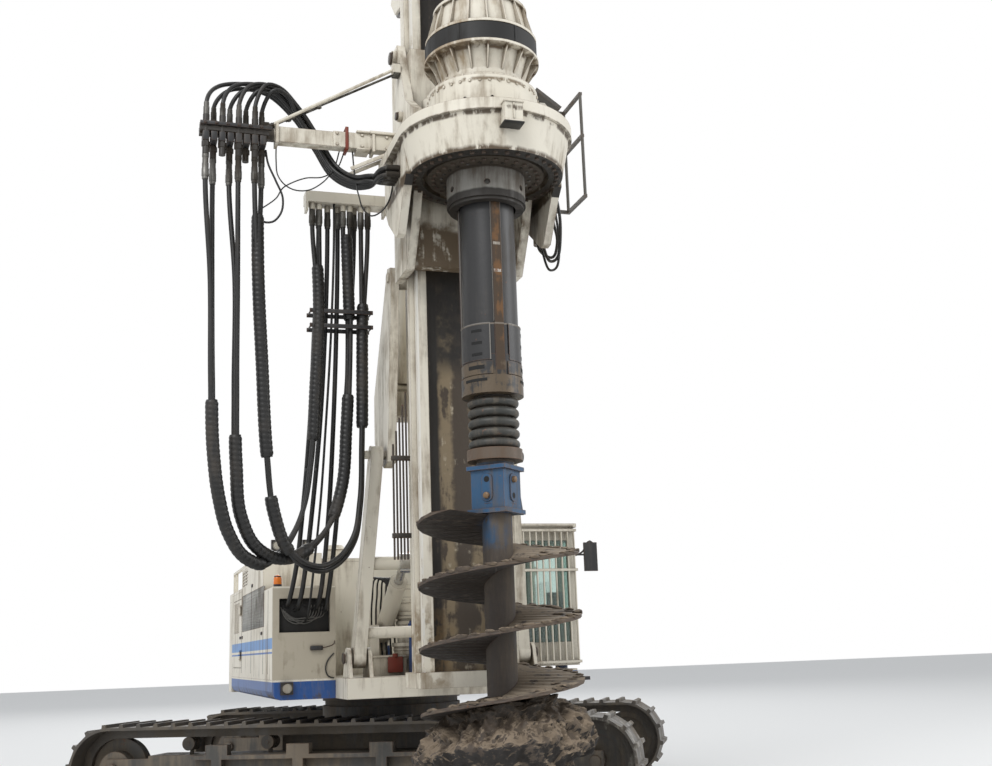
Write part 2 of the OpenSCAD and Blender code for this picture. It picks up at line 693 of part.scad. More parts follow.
module service_door(s) {
    x = s * (upper_half - panel_t / 2);
    difference() {
        block([x - panel_t / 2, service_y0 + door_gap, service_z0 + door_gap],
            [x + panel_t / 2, service_y0 + service_w - door_gap, service_z0 + service_h - door_gap]);
        for (i = [0:5]) block([x + s * panel_t / 2 - 14, service_y0 + 320 + i * 110, service_z0 + 460],
            [x + s * panel_t / 2 + 14, service_y0 + 380 + i * 110, service_z0 + 860]);
    }
    hinge_knuckles(s * (upper_half + hinge_out), service_y0, service_hinge_z, s, 1);
}

module service_door_right() color("white") service_door(-1);
module service_door_left() color("white") service_door(1);

module engine_block() color("dimgray") block([-450, 500, deck_top], [450, 2200, deck_top + 850]);

module cab_shell() color("white") {
    difference() {
        block([cab_in, -cab_front, cab_z], [cab_out, cab_rear, cab_top]);
        block([cab_in + cab_t, -cab_front + cab_t, cab_z + cab_t],
            [cab_out - cab_t, cab_rear - cab_t, cab_top - cab_t]);
        block([cab_in + 90, -cab_front - 1, cab_z + 260],
            [cab_out - 90, -cab_front + cab_t + 1, cab_top - 110]);
        block([cab_in + 90, -cab_front + 200, cab_top - cab_t - 1],
            [cab_out - 90, -cab_front + 900, cab_top + 1]);
        block([cab_in - 1, -cab_front + 150, cab_z + 600],
            [cab_in + cab_t + 1, cab_rear - 150, cab_top - 110]);
        block([cab_in + 90, cab_rear - cab_t - 1, cab_z + 700], [cab_out - 90, cab_rear + 1, cab_top - 110]);
        block([cab_out - cab_t - 1, cab_door_y0, cab_z + 60], [cab_out + 1, cab_door_y1, cab_top - 80]);
        block([cab_out - cab_t - 1, -cab_front + 100, cab_z + 500],
            [cab_out + 1, cab_door_y0 - 60, cab_top - 110]);
    }
    hinge_pins(cab_out + hinge_out, cab_door_y1, cab_hinge_z, 1, 1);
}

module cab_door() color("white") {
    difference() {
        block([cab_out - cab_t, cab_door_y0 + door_gap, cab_z + 60 + door_gap],
            [cab_out, cab_door_y1 - door_gap, cab_top - 80 - door_gap]);
        block([cab_out - cab_t - 1, cab_door_y0 + 70, cab_z + 620],
            [cab_out + 1, cab_door_y1 - 70, cab_top - 150]);
    }
    hinge_knuckles(cab_out + hinge_out, cab_door_y1, cab_hinge_z, 1, -1);
}

module cab_glass() color("lightblue") {
    block([cab_in + 90, -cab_front + 15, cab_z + 260], [cab_out - 90, -cab_front + 23, cab_top - 110]);
    block([cab_in + 15, -cab_front + 150, cab_z + 600], [cab_in + 23, cab_rear - 150, cab_top - 110]);
    block([cab_in + 90, cab_rear - 23, cab_z + 700], [cab_out - 90, cab_rear - 15, cab_top - 110]);
    block([cab_out - 23, -cab_front + 100, cab_z + 500], [cab_out - 15, cab_door_y0 - 60, cab_top - 110]);
    block([cab_in + 90, -cab_front + 200, cab_top - 25], [cab_out - 90, -cab_front + 900, cab_top - 17]);
}

module cab_guard() color("white") {
    y = -cab_front - 70;
    for (i = [0:bar_n - 1]) let (x = cab_in + 30 + i * (cab_out - cab_in - 60) / (bar_n - 1))
        translate([x, y, cab_z + 20]) cylinder(d = bar_d, h = cab_h - 10);
    for (z = [cab_z + 40, cab_z + 560, cab_z + 1060, cab_top]) {
        block([cab_in, y - 15, z - 15], [cab_out, y + 15, z + 15]);
        for (x = [cab_in + 15, cab_out - 15]) block([x - 15, y, z - 15], [x + 15, -cab_front, z + 15]);
    }
    for (i = [0:8]) let (q = y + i * 110)
        block([cab_in, q - 20, cab_top + 50], [cab_out, q + 20, cab_top + 75]);
    for (x = [cab_in + 20, cab_out - 20]) {
        block([x - 20, y - 20, cab_top + 30], [x + 20, y + 900, cab_top + 51]);
        for (r = [90, 800]) block([x - 20, y + r, cab_top], [x + 20, y + r + 60, cab_top + 31]);
    }
}

module cab_seat() color("black") {
    block([seat_x - 170, seat_y + 120, cab_z + cab_t], [seat_x + 170, seat_y + 470, cab_z + 400]);
    block([seat_x - 240, seat_y, cab_z + 400], [seat_x + 240, seat_y + 540, cab_z + 520]);
    block([seat_x - 240, seat_y + 490, cab_z + 519], [seat_x + 240, seat_y + 620, cab_z + 1150]);
}

// Grab rail of the cab, mirror, step, lamps and the beacon on the corner of the locker
module rails_and_lamps() color("black") {
    y = cab_door_y0 - 30;
    translate([cab_out + 70, y, cab_z + 300]) cylinder(d = 26, h = 800);
    for (z = [cab_z + 320, cab_z + 1080]) x_rod(cab_out + 35, y, z, 26, 70);
    x_rod(cab_out + 90, 60 - cab_front, cab_z + 1240, 22, 180);
    block([cab_out + 140, 45 - cab_front, cab_z + 1050], [cab_out + 300, 75 - cab_front, cab_z + 1380]);
    block([upper_half, cab_door_y0, deck_z + 70], [upper_half + 260, cab_door_y1, deck_z + 110]);
    for (e = [40, 1000]) block([upper_half, cab_door_y0 + e, deck_z + 110],
        [upper_half + 60, cab_door_y0 + e + 20, deck_top - 20]);
    translate([-upper_half + lamp_in, -house_front, deck_z + 120]) rotate([90, 0, 0]) {
        translate([-lamp_w / 2, -lamp_w / 2, 0]) cube([lamp_w, lamp_w, 50]);
        translate([0, 0, 49]) cylinder(d = lamp_w - 20, h = 14);
    }
    for (x = [-1560, -1200]) translate([x, mid_front_y + 70, mid_roof_z]) {
        block([-lamp_w / 2, -30, 30], [lamp_w / 2, 50, 30 + lamp_w]);
        block([-12, -8, 0], [12, 12, 31]);
    }
    translate([60 - upper_half, 70 - house_front, locker_z]) {
        cylinder(d = 90, h = 25);
        translate([0, 0, 24]) cylinder(d1 = 84, d2 = 76, h = 90);
    }
}

module boom_arm() {
    low = [-foot_x, -foot_y, foot_z];
    top = [-head_x, -head_y, head_z];
    v = top - low;
    tilt = acos(v[2] / norm(v));
    spin = atan2(v[1], v[0]);
    difference() {
        union() {
            translate(low) rotate([0, 0, spin]) rotate([0, tilt, 0]) rotate([0, 0, -spin])
                translate([-arm_w / 2, -95, 0]) cube([arm_w, 190, norm(v)]);
            x_rod(low[0], low[1], low[2], 210, arm_w);
            x_rod(top[0], top[1], top[2], 190, arm_w);
        }
        x_rod(low[0], low[1], low[2], pin_d + 2 * pin_gap, 400);
        x_rod(top[0], top[1], top[2], pin_d + 2 * pin_gap, 400);
    }
}

module boom() color("white") {
    both_sides() boom_arm();
    x_rod(0, luff_eye[0], luff_eye[1], 140, 2 * (foot_x - 100));
    x_rod(0, -foot_y + boom_dir[0] * 0.12, foot_z + boom_dir[1] * 0.12, 120, 2 * (foot_x - 60));
}

module steady_link() color("white") difference() {
    union() {
        ang = atan2(link_top[0] - link_low[0], link_top[1] - link_low[1]);
        translate([0, link_low[0], link_low[1]]) rotate([-ang, 0, 0])
            block([-120, -60, 0], [120, 60, boom_len]);
        x_rod(0, link_low[0], link_low[1], 180, 350);
        x_rod(0, link_top[0], link_top[1], 180, 350);
    }
    x_rod(0, link_low[0], link_low[1], pin_d + 2 * pin_gap, 500);
    x_rod(0, link_top[0], link_top[1], pin_d + 2 * pin_gap, 500);
}

// A hydraulic barrel from its foot pin towards its rod eye, in the YZ plane at x
module barrel(x, foot, eye, d, len, eye_w) {
    ang = atan2(eye[0] - foot[0], eye[1] - foot[1]);
    difference() {
        union() {
            translate([x, foot[0], foot[1]]) rotate([-ang, 0, 0]) translate([0, 0, 60])
                cylinder(d = d + 40, h = len - 60);
            x_rod(x, foot[0], foot[1], d, eye_w);
        }
        x_rod(x, foot[0], foot[1], pin_d - 10 + 2 * pin_gap, eye_w + 2);
        translate([x, foot[0], foot[1]]) rotate([-ang, 0, 0]) translate([0, 0, 140])
            cylinder(d = d * 0.62 + 2 * pin_gap, h = len);
    }
}

// The rod of such a cylinder, ending in an eye
module piston_rod(x, foot, eye, d, start, eye_w, hole, play) {
    ang = atan2(eye[0] - foot[0], eye[1] - foot[1]);
    difference() {
        union() {
            translate([x, foot[0], foot[1]]) rotate([-ang, 0, 0]) translate([0, 0, start])
                cylinder(d = d * 0.62, h = norm(eye - foot) - start);
            x_rod(x, eye[0], eye[1], hole + 70, eye_w);
        }
        x_rod(x, eye[0], eye[1], hole + 2 * play, eye_w + 2);
    }
}

luff_len = norm(luff_eye - luff_foot);
tilt_len = norm(tilt_eye - tilt_foot);

module luff_barrels() color("white") both_sides()
    barrel(-luff_x, luff_foot, luff_eye, luff_d, luff_len - 330, 2 * luff_ear - 50);

module luff_rods() color("silver") both_sides()
    piston_rod(-luff_x, luff_foot, luff_eye, luff_d, 500, 110, 140, luff_play);

module mast_bracket() color("white") {
    plate = [[-head_y - 130, head_z - 90], [-pivot_y - 120, pivot_z - 60], [-pivot_y - 90, pivot_z + 90],
        [-pivot_y + 60, pivot_z + 120], [-pivot_y + 150, pivot_z], [link_top[0] + 130, link_top[1] + 420],
        [link_top[0] + 130, link_top[1] - 100], [-head_y + 80, head_z - 130]];
    side_x = mast_w / 2 + rail_w + 20;
    difference() {
        union() {
            for (s = [-1, 1]) yz_plate(s * (side_x + 45) - 45, 90, plate);
            block([-side_x - 1, -head_y + 120, link_top[1] + 150],
                [side_x + 1, link_top[0] + 120, link_top[1] + 420]);
            for (q = [-1, 1]) yz_plate(q * 215 - 20, 40,
                [[link_top[0] - 90, link_top[1] + 151], [link_top[0] - 90, link_top[1] - 60],
                [link_top[0] + 90, link_top[1] - 60], [link_top[0] + 90, link_top[1] + 151]]);
            for (s = [-1, 1], q = [-1, 1]) yz_plate(s * tilt_x + q * tilt_ear - 15, 30,
                [[tilt_foot[0] - 110, link_top[1] + 419], [tilt_foot[0] - 60, tilt_foot[1] + 60],
                [tilt_foot[0] + 60, tilt_foot[1] + 60], [tilt_foot[0] + 70, link_top[1] + 419]]);
            for (s = [-1, 1]) {
                x_rod(s * (head_x - 20), -head_y, head_z, pin_d, arm_w + 180);
                x_rod(s * tilt_x, tilt_foot[0], tilt_foot[1], pin_d - 10, 2 * tilt_ear + 80);
            }
            x_rod(0, link_top[0], link_top[1], pin_d, 500);
        }
        x_rod(0, -pivot_y, pivot_z, pin_d + 20 + 2 * pin_gap, 3000);
    }
}

module tilt_barrels() color("white") both_sides()
    barrel(-tilt_x, tilt_foot, tilt_eye, tilt_d, tilt_len - 760, 2 * tilt_ear - 50);

module tilt_rods() color("silver") both_sides()
    piston_rod(-tilt_x, tilt_foot, tilt_eye, tilt_d, 900, 100, 80, tilt_play);

module mast_section(z0, z1) {
    difference() {
        block([-mast_w / 2, mast_front, z0], [mast_w / 2, mast_back, z1]);
        block([-mast_w / 2 + mast_t, mast_front + mast_t, z0 - 1],
            [mast_w / 2 - mast_t, mast_back - mast_t, z1 + 1]);
    }
    for (s = [-1, 1]) translate([s * (mast_w / 2 + rail_w / 2 - 55), 0, 0])
        block([-rail_w / 2, -rail_y, z0], [rail_w / 2, mast_front + 1, z1]);
    for (s = [-1, 1]) translate([s * mast_w / 2, 0, 0])
        block([-1 * (s < 0 ? rail_w : 0), mast_front - 20, z0], [(s > 0 ? rail_w : 0), mast_front + 60, z1]);
}

module winch_frames() for (z = [main_winch_z, aux_winch_z])
    for (s = [-1, 1]) difference() {
        yz_plate(s * 330 - 15, 30, [[mast_back - 1, z - 350], [winch_y + 120, z - 250], [winch_y + 330, z],
            [winch_y + 120, z + 250], [mast_back - 1, z + 350]]);
        x_rod(s * 330, winch_y, z, 90 + 2 * pin_gap, 60);
    }

// Lower mast with its foot, pivot pin, tilt lugs and winch side plates
module mast_lower() color("white") {
    mast_section(mast_z0, mast_z1);
    winch_frames();
    block([-520, -rail_y - 80, mast_z0 - 150], [520, mast_back - 120, mast_z0 + 1]);
    x_rod(0, -pivot_y, pivot_z, pin_d + 20, 2 * (mast_w / 2 + rail_w + 130));
    for (s = [-1, 1]) x_rod(s * (mast_w / 2 + rail_w / 2), -pivot_y, pivot_z, 240, rail_w + 20);
    for (s = [-1, 1], q = [-1, 1]) yz_plate(s * tilt_x + q * 70 - 15, 30,
        [[mast_back - 1, tilt_eye[1] + 150], [tilt_eye[0] + 50, tilt_eye[1] + 50],
        [tilt_eye[0] + 50, tilt_eye[1] - 50], [mast_back - 1, tilt_eye[1] - 150]]);
    for (s = [-1, 1]) x_rod(s * tilt_x, tilt_eye[0], tilt_eye[1], 80, 200);
}

module mast_upper() color("white") mast_section(mast_z1 + seat_gap, mast_z2);

module mast_head() color("white") {
    for (s = [-1, 1]) yz_plate(s * 430 - 25, 50, [[-kelly_y - 150, mast_z2 + 560], [mast_front, mast_z2 + 1],
        [mast_back, mast_z2 + 1], [rear_sheave_y + 250, mast_z2 + 560],
        [rear_sheave_y + 250, head_sheave_z + 120], [rear_sheave_y, head_sheave_z + 200],
        [front_sheave_y, head_sheave_z + 200], [-kelly_y - 150, head_sheave_z + 60]]);
    block([-455, mast_front, mast_z2 + seat_gap], [455, mast_back, mast_z2 + 260]);
    x_rod(0, front_sheave_y, head_sheave_z, 79, 900);
    x_rod(0, rear_sheave_y, head_sheave_z, 79, 900);
}

module crowd_barrel() color("white") difference() {
    union() {
        translate([0, crowd_y, crowd_barrel_z0]) cylinder(d = crowd_barrel_d, h = 4600);
        for (z = [200, 4000])
            block([-60, crowd_y, crowd_barrel_z0 + z], [60, mast_front, crowd_barrel_z0 + z + 300]);
    }
    translate([0, crowd_y, crowd_barrel_z0 - 1]) cylinder(d = crowd_d + 2 * pin_gap, h = 4400);
}

module winch_drum(z) {
    x_rod(0, winch_y, z, drum_d, 560);
    for (s = [-1, 1]) x_rod(s * 290, winch_y, z, drum_d + 160, 20);
    x_rod(0, winch_y, z, 90, 720);
}

module main_drum() color("dimgray") winch_drum(main_winch_z);
module aux_drum() color("dimgray") winch_drum(aux_winch_z);

module sheave(x, y) {
    translate([x, y, head_sheave_z]) rotate([0, 90, 0]) rotate_extrude()
        polygon([[40, -30], [sheave_d / 2 + 25, -30], [sheave_d / 2 + 25, -24],
            [sheave_d / 2, -12], [sheave_d / 2, 12], [sheave_d / 2 + 25, 24],
            [sheave_d / 2 + 25, 30], [40, 30]]);
}

module front_sheaves() color("dimgray")
    for (x = [rope_x, aux_x]) sheave(x, front_sheave_y);

module rear_sheaves() color("dimgray")
    for (x = [rope_x, aux_x]) sheave(x, rear_sheave_y);

module rope_run(x, front_z, back_z) {
    r = sheave_d / 2 + rope_d / 2 + seat_gap;
    translate([x, front_sheave_y - r, front_z]) cylinder(d = rope_d, h = head_sheave_z - front_z);
    translate([x, rear_sheave_y + r, back_z]) cylinder(d = rope_d, h = head_sheave_z - back_z);
    translate([x, front_sheave_y, head_sheave_z + r]) rotate([-90, 0, 0])
        cylinder(d = rope_d, h = rear_sheave_y - front_sheave_y);
    for (q = [[front_sheave_y, 90], [rear_sheave_y, 0]])
        translate([x, q[0], head_sheave_z]) rotate([90, 0, 90]) rotate([0, 0, q[1]])
            rotate_extrude(angle = 90) translate([r, 0]) circle(d = rope_d);
}

module main_rope() color("black") rope_run(rope_x, swivel_z, main_winch_z);
module aux_rope() color("black") rope_run(aux_x, 18800, aux_winch_z);
module aux_hook() color("gray") translate([aux_x, front_sheave_y - sheave_d / 2 - rope_d / 2, 0])
    difference() {
        union() {
            translate([0, 0, 18500]) cylinder(d = 120, h = 300);
            block([-25, -75, 18330], [25, 75, 18520]);
            x_rod(0, 0, 18330, 150, 50);
        }
        x_rod(0, 0, 18330, 60, 52);
    }

module hose_bracket() color("white") {
    block([-1540, -3130, 6400], [-mast_w / 2, -2940, 6520]);
    for (q = concat(loop_stubs, supply_stubs)) translate([q[0], q[1], 6330])
        cylinder(d = stub_d, h = stub_h);
    for (x = [-1540, -700]) yz_plate(x, 24, [[-3130, 6400], [-3130, 6300], [-3000, 6300], [-3000, 6520]]);
}

module sledge() color("white") difference() {
    plate = [[-4080, 5900], [-3800, sledge_low], [-3300, sledge_low], [-3300, sledge_top - 60],
        [-3420, sledge_top], [-3560, sledge_top], [-3900, 7300], [-4250, 7050], [-4250, 6300]];
    union() {
        for (s = [-1, 1]) {
            yz_plate(s * (sledge_in + plate_t / 2) - plate_t / 2, plate_t, plate);
            for (z = [sledge_low + 60, sledge_top - 600]) {
                block([s > 0 ? mast_w / 2 + 20 : -sledge_in - 10, mast_front + 60 + shoe_gap, z],
                    [s > 0 ? sledge_in + 10 : -mast_w / 2 - 20, mast_front + 110 + shoe_gap, z + 400]);
                block([s * mast_w / 2 - 50, -rail_y - 120, z],
                    [s * mast_w / 2 + 50, -rail_y - ring_gap, z + 400]);
            }
        }
        block([-sledge_in - 1, -rail_y - 200, sledge_low + 50], [sledge_in + 1, -rail_y - 45, 6400]);
        block([-sledge_in - 1, -rail_y - 200, 6900], [sledge_in + 1, -rail_y - 45, 7950]);
        block([-80, -rail_y - 100, crowd_rod_z0 - 320], [80, crowd_y + 50, crowd_rod_z0]);
        for (s = [-1, 1], q = yoke_pins) x_rod(s * (sledge_in + plate_t + 15), q[0], q[1], q[2], 60);
    }
    translate([0, -kelly_y, rotary_z - seat_gap]) cylinder(d1 = rotary_d + 2 * seat_gap,
        d2 = rotary_d + drum_flare + 2 * seat_gap, h = drum_h - drum_flange + seat_gap);
    translate([0, -kelly_y, drum_top - drum_flange - 1])
        cylinder(d = rotary_d + drum_flare + 2 * seat_gap, h = drum_flange + 1 + seat_gap);
}

// Drum of the rotary drive with the gearbox behind it, its two motors and side brackets
module rotary_drive() color("white") difference() {
    union() {
        translate([0, -kelly_y, rotary_z])
            cylinder(d1 = rotary_d, d2 = rotary_d + drum_flare - 60, h = drum_h - drum_flange);
        translate([0, -kelly_y, drum_top - drum_flange]) cylinder(d = rotary_d + drum_flare, h = drum_flange);
        translate([0, -kelly_y, drum_top - 1]) cylinder(d = 1090, h = ring_top - drum_h + 1);
        block([-sledge_in + seat_gap, -kelly_y, rotary_z + 120],
            [sledge_in - seat_gap, -rail_y - 200 - seat_gap, drum_top + 60]);
        for (s = [-1, 1]) {
            translate([s * 360, -3935, drum_top + 59]) cylinder(d = 250, h = 360);
            translate([s * 360, -3935, drum_top + 418]) cylinder(d = 190, h = 220);
            translate([s * 360, -3935, drum_top + 637]) cylinder(d = 90, h = 60);
        }
        block([-90, -kelly_y - rotary_d / 2 - 175, drum_top - 250],
            [90, -kelly_y - rotary_d / 2, drum_top - 70]);
        block([sledge_in + plate_t + 15, -kelly_y + 120, drum_top - 1],
            [820, -kelly_y + 420, drum_top + 190]);
        for (s = [-1, 1]) {
            block([s > 0 ? cheek_in : -drum_r, -kelly_y, drum_top - drum_flange],
                [s > 0 ? drum_r : -cheek_in, casing_back, drum_top]);
            yz_plate(s * cheek_x - cheek_t / 2, cheek_t, [[-kelly_y, drum_top - 1],
                [-kelly_y, rotary_z], [-kelly_y + 100, rotary_z - 90], [-kelly_y + 380, rotary_z - 480],
                [-kelly_y + 470, rotary_z - 490], [casing_back - 150, rotary_z - 240],
                [casing_back, rotary_z - 40], [casing_back, drum_top - 1]]);
            block([s > 0 ? cheek_in : -cheek_x, casing_back - 60, rotary_z + 60],
                [s > 0 ? cheek_x : -cheek_in, casing_back, drum_top - 1]);
        }
        yz_plate(700, 60, [[-kelly_y + 180, drum_top + 150], [-kelly_y + 120, drum_top + 420],
            [-kelly_y + 260, drum_top + 560], [-kelly_y + 400, drum_top + 420],
            [-kelly_y + 400, drum_top + 150]]);
    }
    translate([0, -kelly_y, rotary_z - 1]) cylinder(d = collar_d + 2 * ring_gap, h = 2000);
    translate([0, -kelly_y, rotary_z - 1]) cylinder(d = 1240, h = 71);
    translate([0, -kelly_y, rotary_z + 110]) cylinder(d = collar_d + 40, h = drum_h - 190);
}

// Square arm that carries the hose manifold, with its bolted root and its stay
module hose_arm() color("white") {
    root = -sledge_in - plate_t;
    tip = root - hose_arm_len;
    block([tip, -3760, hose_arm_z - 80], [root, -3640, hose_arm_z + 80]);
    block([root - 30, -3830, hose_arm_z - 150], [root, -3570, hose_arm_z + 150]);
    block([root - 330, -3790, hose_arm_z - 110], [root - 300, -3610, hose_arm_z + 110]);
    block([tip - 20, -3790, hose_arm_z - 105], [tip + 10, -3610, hose_arm_z + 105]);
    block([manifold_x0, -3730, hose_arm_z - 60], [tip + 1, -3670, hose_arm_z + 60]);
    block([manifold_x0, -3790, hose_arm_z - 40], [manifold_x1, -3610, hose_arm_z]);
    for (i = [0:7]) translate([manifold_stub_x[i], manifold_stub_y[i % 2], 0]) {
        translate([0, 0, 6560]) cylinder(d = stub_d, h = hose_arm_z - 6560 + 130);
        translate([0, 0, 6640]) cylinder(d = 84, h = 50, $fn = 6);
    }
    stay_z = 7750;
    stay = [root - 40 + 2100, 0, stay_z - hose_arm_z - 40];
    translate([-2100, -3700, hose_arm_z + 40]) rotate([0, acos(stay[2] / norm(stay)), 0])
        cylinder(d = 34, h = norm(stay));
    block([root - 90, -3735, stay_z - 60], [root, -3665, stay_z + 40]);
}

// Tube frame, slanting plate and hanging filter at the right of the rotary drive
module rotary_guard() color("dimgray") {
    for (y = [guard_y - 500, guard_y]) translate([guard_x, y, 6300]) cylinder(d = 34, h = 1200);
    for (z = [6317, 7000, 7483]) {
        block([sledge_in + plate_t, guard_y - 17, z - 17], [guard_x, guard_y + 17, z + 17]);
        block([guard_x - 17, guard_y - 517, z - 17], [guard_x + 17, guard_y + 17, z + 17]);
    }
    block([sledge_in + plate_t, casing_back + 10, 6160], [filter_x - 80, guard_y + 40, 6240]);
    translate([filter_x, guard_y - 40, 5900]) cylinder(d = 150, h = 420);
    block([filter_x - 85, guard_y - 60, 6160], [filter_x, guard_y - 20, 6240]);
    translate([guard_x - 300, guard_y, 7480]) rotate([0, 35, 0]) block([-170, -330, -20], [170, 0, 20]);
}

module crowd_rod() color("silver")
    translate([0, crowd_y, crowd_rod_z0]) cylinder(d = crowd_d, h = crowd_barrel_z0 - crowd_rod_z0 + 1250);

module drive_collar() color("dimgray") difference() {
    union() {
        translate([0, -kelly_y, rotary_z - 300]) cylinder(d = collar_d, h = ring_top + 300);
        translate([0, -kelly_y, rotary_z - 330]) cylinder(d = collar_d - 40, h = 60);
        translate([0, -kelly_y, rotary_z + 8]) cylinder(d = 1150, h = 50);
    }
    translate([0, -kelly_y, rotary_z - 400]) cylinder(r = sleeve_r, h = 3000);
    for (g = [15:60:345]) translate([0, -kelly_y, rotary_z - 165]) rotate([0, 0, g]) rotate([0, 90, 0])
        translate([0, 0, collar_d / 2 - 40]) cylinder(d = 58, h = 60);
}

// Two funnels above the drum, their ribs between thin rims, with a dark band between
module guide_cones() color("white") translate([0, -kelly_y, rotary_z + ring_top + seat_gap]) difference() {
    union() {
        cylinder(d = 1000, h = 40);
        cylinder(d = 850, h = 130);
        translate([0, 0, 129]) cylinder(d1 = 850, d2 = 1010, h = 232);
        translate([0, 0, 330]) cylinder(d = 1150, h = 30);
        translate([0, 0, 359]) cylinder(d = 980, h = 192);
        translate([0, 0, 550]) cylinder(d = 1120, h = 30);
        translate([0, 0, 579]) cylinder(d1 = 1010, d2 = 880, h = 332);
        translate([0, 0, 880]) cylinder(d = 950, h = 30);
        for (i = [0:rib_n - 1]) rotate([0, 0, i * 360 / rib_n]) {
            rotate([90, 0, 0]) translate([0, 0, -7]) linear_extrude(height = 14)
                polygon([[400, 120], [430, 120], [570, 331], [400, 331]]);
            rotate([90, 0, 0]) translate([0, 0, -7]) linear_extrude(height = 14)
                polygon([[400, 579], [556, 579], [472, 881], [400, 881]]);
        }
    }
    translate([0, 0, -1]) cylinder(r = sleeve_r + 5, h = 2000);
}

module kelly_guide() color("white") {
    z = kelly_top - 500;
    difference() {
        union() {
            translate([0, -kelly_y, z]) cylinder(d = 800, h = 160);
            block([-620, -kelly_y + 300, z], [620, -rail_y - 60, z + 160]);
            for (s = [-1, 1]) {
                block([s * 580 - 40, -rail_y - 61, z - 200],
                    [s * 580 + 40, mast_front + 110 + shoe_gap, z + 360]);
                block([s * mast_w / 2 - 50, -rail_y - 61, z],
                    [s * mast_w / 2 + 50, -rail_y - ring_gap, z + 160]);
                block([s > 0 ? mast_w / 2 + 20 : -541, mast_front + 60 + shoe_gap, z - 200],
                    [s > 0 ? 541 : -mast_w / 2 - 20, mast_front + 110 + shoe_gap, z + 360]);
            }
        }
        translate([0, -kelly_y, z - 1]) cylinder(d = kelly_d + 2 * pin_gap, h = 200);
    }
}

module kelly_bar() color("dimgray") translate([0, -kelly_y, 0]) difference() {
    union() {
        translate([0, 0, kelly_z0 + 165]) cylinder(d = kelly_d, h = kelly_len - 165);
        translate([0, 0, kelly_z0]) cylinder(d = 585, h = 165);
        translate([0, 0, kelly_z0 + 164]) cylinder(d = 556, h = 200);
        translate([0, 0, kelly_z0 + 363]) cylinder(d = 544, h = 300);
        for (g = [30, 150, 270]) rotate([0, 0, g])
            block([kelly_d / 2 - 5, -key_w / 2, kelly_z0 + 165],
                [kelly_d / 2 + key_t, key_w / 2, kelly_top - 560]);
        translate([0, 0, kelly_top - 340 + ring_gap]) cylinder(d = 660, h = 60);
        translate([0, 0, kelly_top - 1]) cylinder(d = 300, h = 201);
    }
    translate([0, 0, kelly_z0 + 165]) cylinder(d = kelly_d - 2 * kelly_t, h = kelly_len - 300);
    translate([0, 0, kelly_z0 - 1]) cylinder(d = inner_d + 2 * pin_gap, h = 200);
}

module kelly_foot() color("steelblue") translate([0, -kelly_y, 0]) {
    difference() {
        translate([0, 0, box_z + 50]) cylinder(d = inner_d, h = kelly_z0 - box_z + 9000);
        translate([0, 0, box_z + 480]) cylinder(d = inner_d - 60, h = 10000);
    }
    for (i = [0:spring_n - 1]) translate([0, 0, 3535 + i * 98])
        rotate_extrude() translate([200, 0]) circle(d = 84);
    translate([0, 0, 3380]) cylinder(d = 520, h = 105);
    rotate([0, 0, 45]) difference() {
        union() {
            block([-box_w / 2, -box_w / 2, box_z], [box_w / 2, box_w / 2, box_z + box_h]);
            block([-200, -200, box_z + box_h - 40], [200, 200, box_z + box_h]);
            block([-200, -200, box_z - 40], [200, 200, box_z]);
        }
        for (g = [0, 90], z = [120, 270]) rotate([0, 0, g]) x_rod(0, 0, box_z + z, 64, 600);
    }
    for (s = [-1, 1]) rotate([0, 0, 45]) rotate([90, 0, 0]) translate([0, 0, s * 150 - 12])
        linear_extrude(height = 24) polygon([[150, box_z - 39], [235, box_z - 39], [150, box_z + 250]]);
}

// Flight as a narrow sector wound up round the core
module flight(z0, z1, r, pitch, t, step) {
    turns = (z1 - z0) / pitch;
    sector = 360 * t / pitch;
    inner = core_d / 2 - 20;
    rotate([0, 0, flight_start - 360 * turns]) translate([0, 0, z0])
        linear_extrude(height = z1 - z0, twist = -360 * turns, slices = ceil(turns * 360 / step),
            segments = 5)
            polygon([[inner, 0], [r, 0], r * [cos(sector / 2), sin(sector / 2)],
                r * [cos(sector), sin(sector)], inner * [cos(sector), sin(sector)]]);
}

module auger() color("saddlebrown") translate([0, -kelly_y, 0]) {
    translate([0, 0, auger_low - 60]) cylinder(d = core_d, h = box_z - 40 - auger_low + 60 - seat_gap);
    flight(auger_low, auger_top, auger_d / 2, auger_pitch, flight_t, flight_step);
    translate([0, 0, 90]) cylinder(d1 = 60, d2 = 200, h = 200);
}

// Clay that sticks to the lowest turns of the auger, as one lumpy body round its core that
// leans with the flight, rides up at its right and is hollow below
module clay() color("sienna") translate([0, -kelly_y, 0]) difference() {
    translate([0, 0, clay_mid]) rotate([0, -clay_lean, 0]) translate([0, 0, -clay_mid])
        rotate_extrude($fn = 13) polygon([[core_d / 2 - 40, clay_z], [clay_r * 0.78, clay_z],
            [clay_r * 0.9, clay_z + 150], [clay_r * 0.95, clay_z + 350], [clay_r, clay_z + 520],
            [clay_r * 0.96, clay_z + 650], [clay_r * 0.72, clay_z + 770], [core_d / 2 + 120, clay_z + 850],
            [core_d / 2 - 40, clay_z + 880]]);
    translate([0, 0, clay_z - 160]) cylinder(d1 = 1.6 * clay_r, d2 = core_d + 2 * seat_gap, h = 700);
    cylinder(d = core_d + 2 * seat_gap, h = 2 * clay_mid + 800);
    flight(auger_low, auger_top, auger_d / 2, auger_pitch, flight_t, flight_step);
}

module hose_loop_1() color("black") hose(loop_1, hose_d, [0.35, 1, 0]);
module hose_loop_2() color("black") hose(loop_2, hose_d, [0.35, 1, 0]);
module hose_loop_3() color("black") hose(loop_3, hose_d, [0.35, 1, 0]);
module hose_supply_1() color("black") hose(supply_1, hose_d, [1, 0, 0]);
module hose_supply_2() color("black") hose(supply_2, hose_d, [1, 0, 0]);

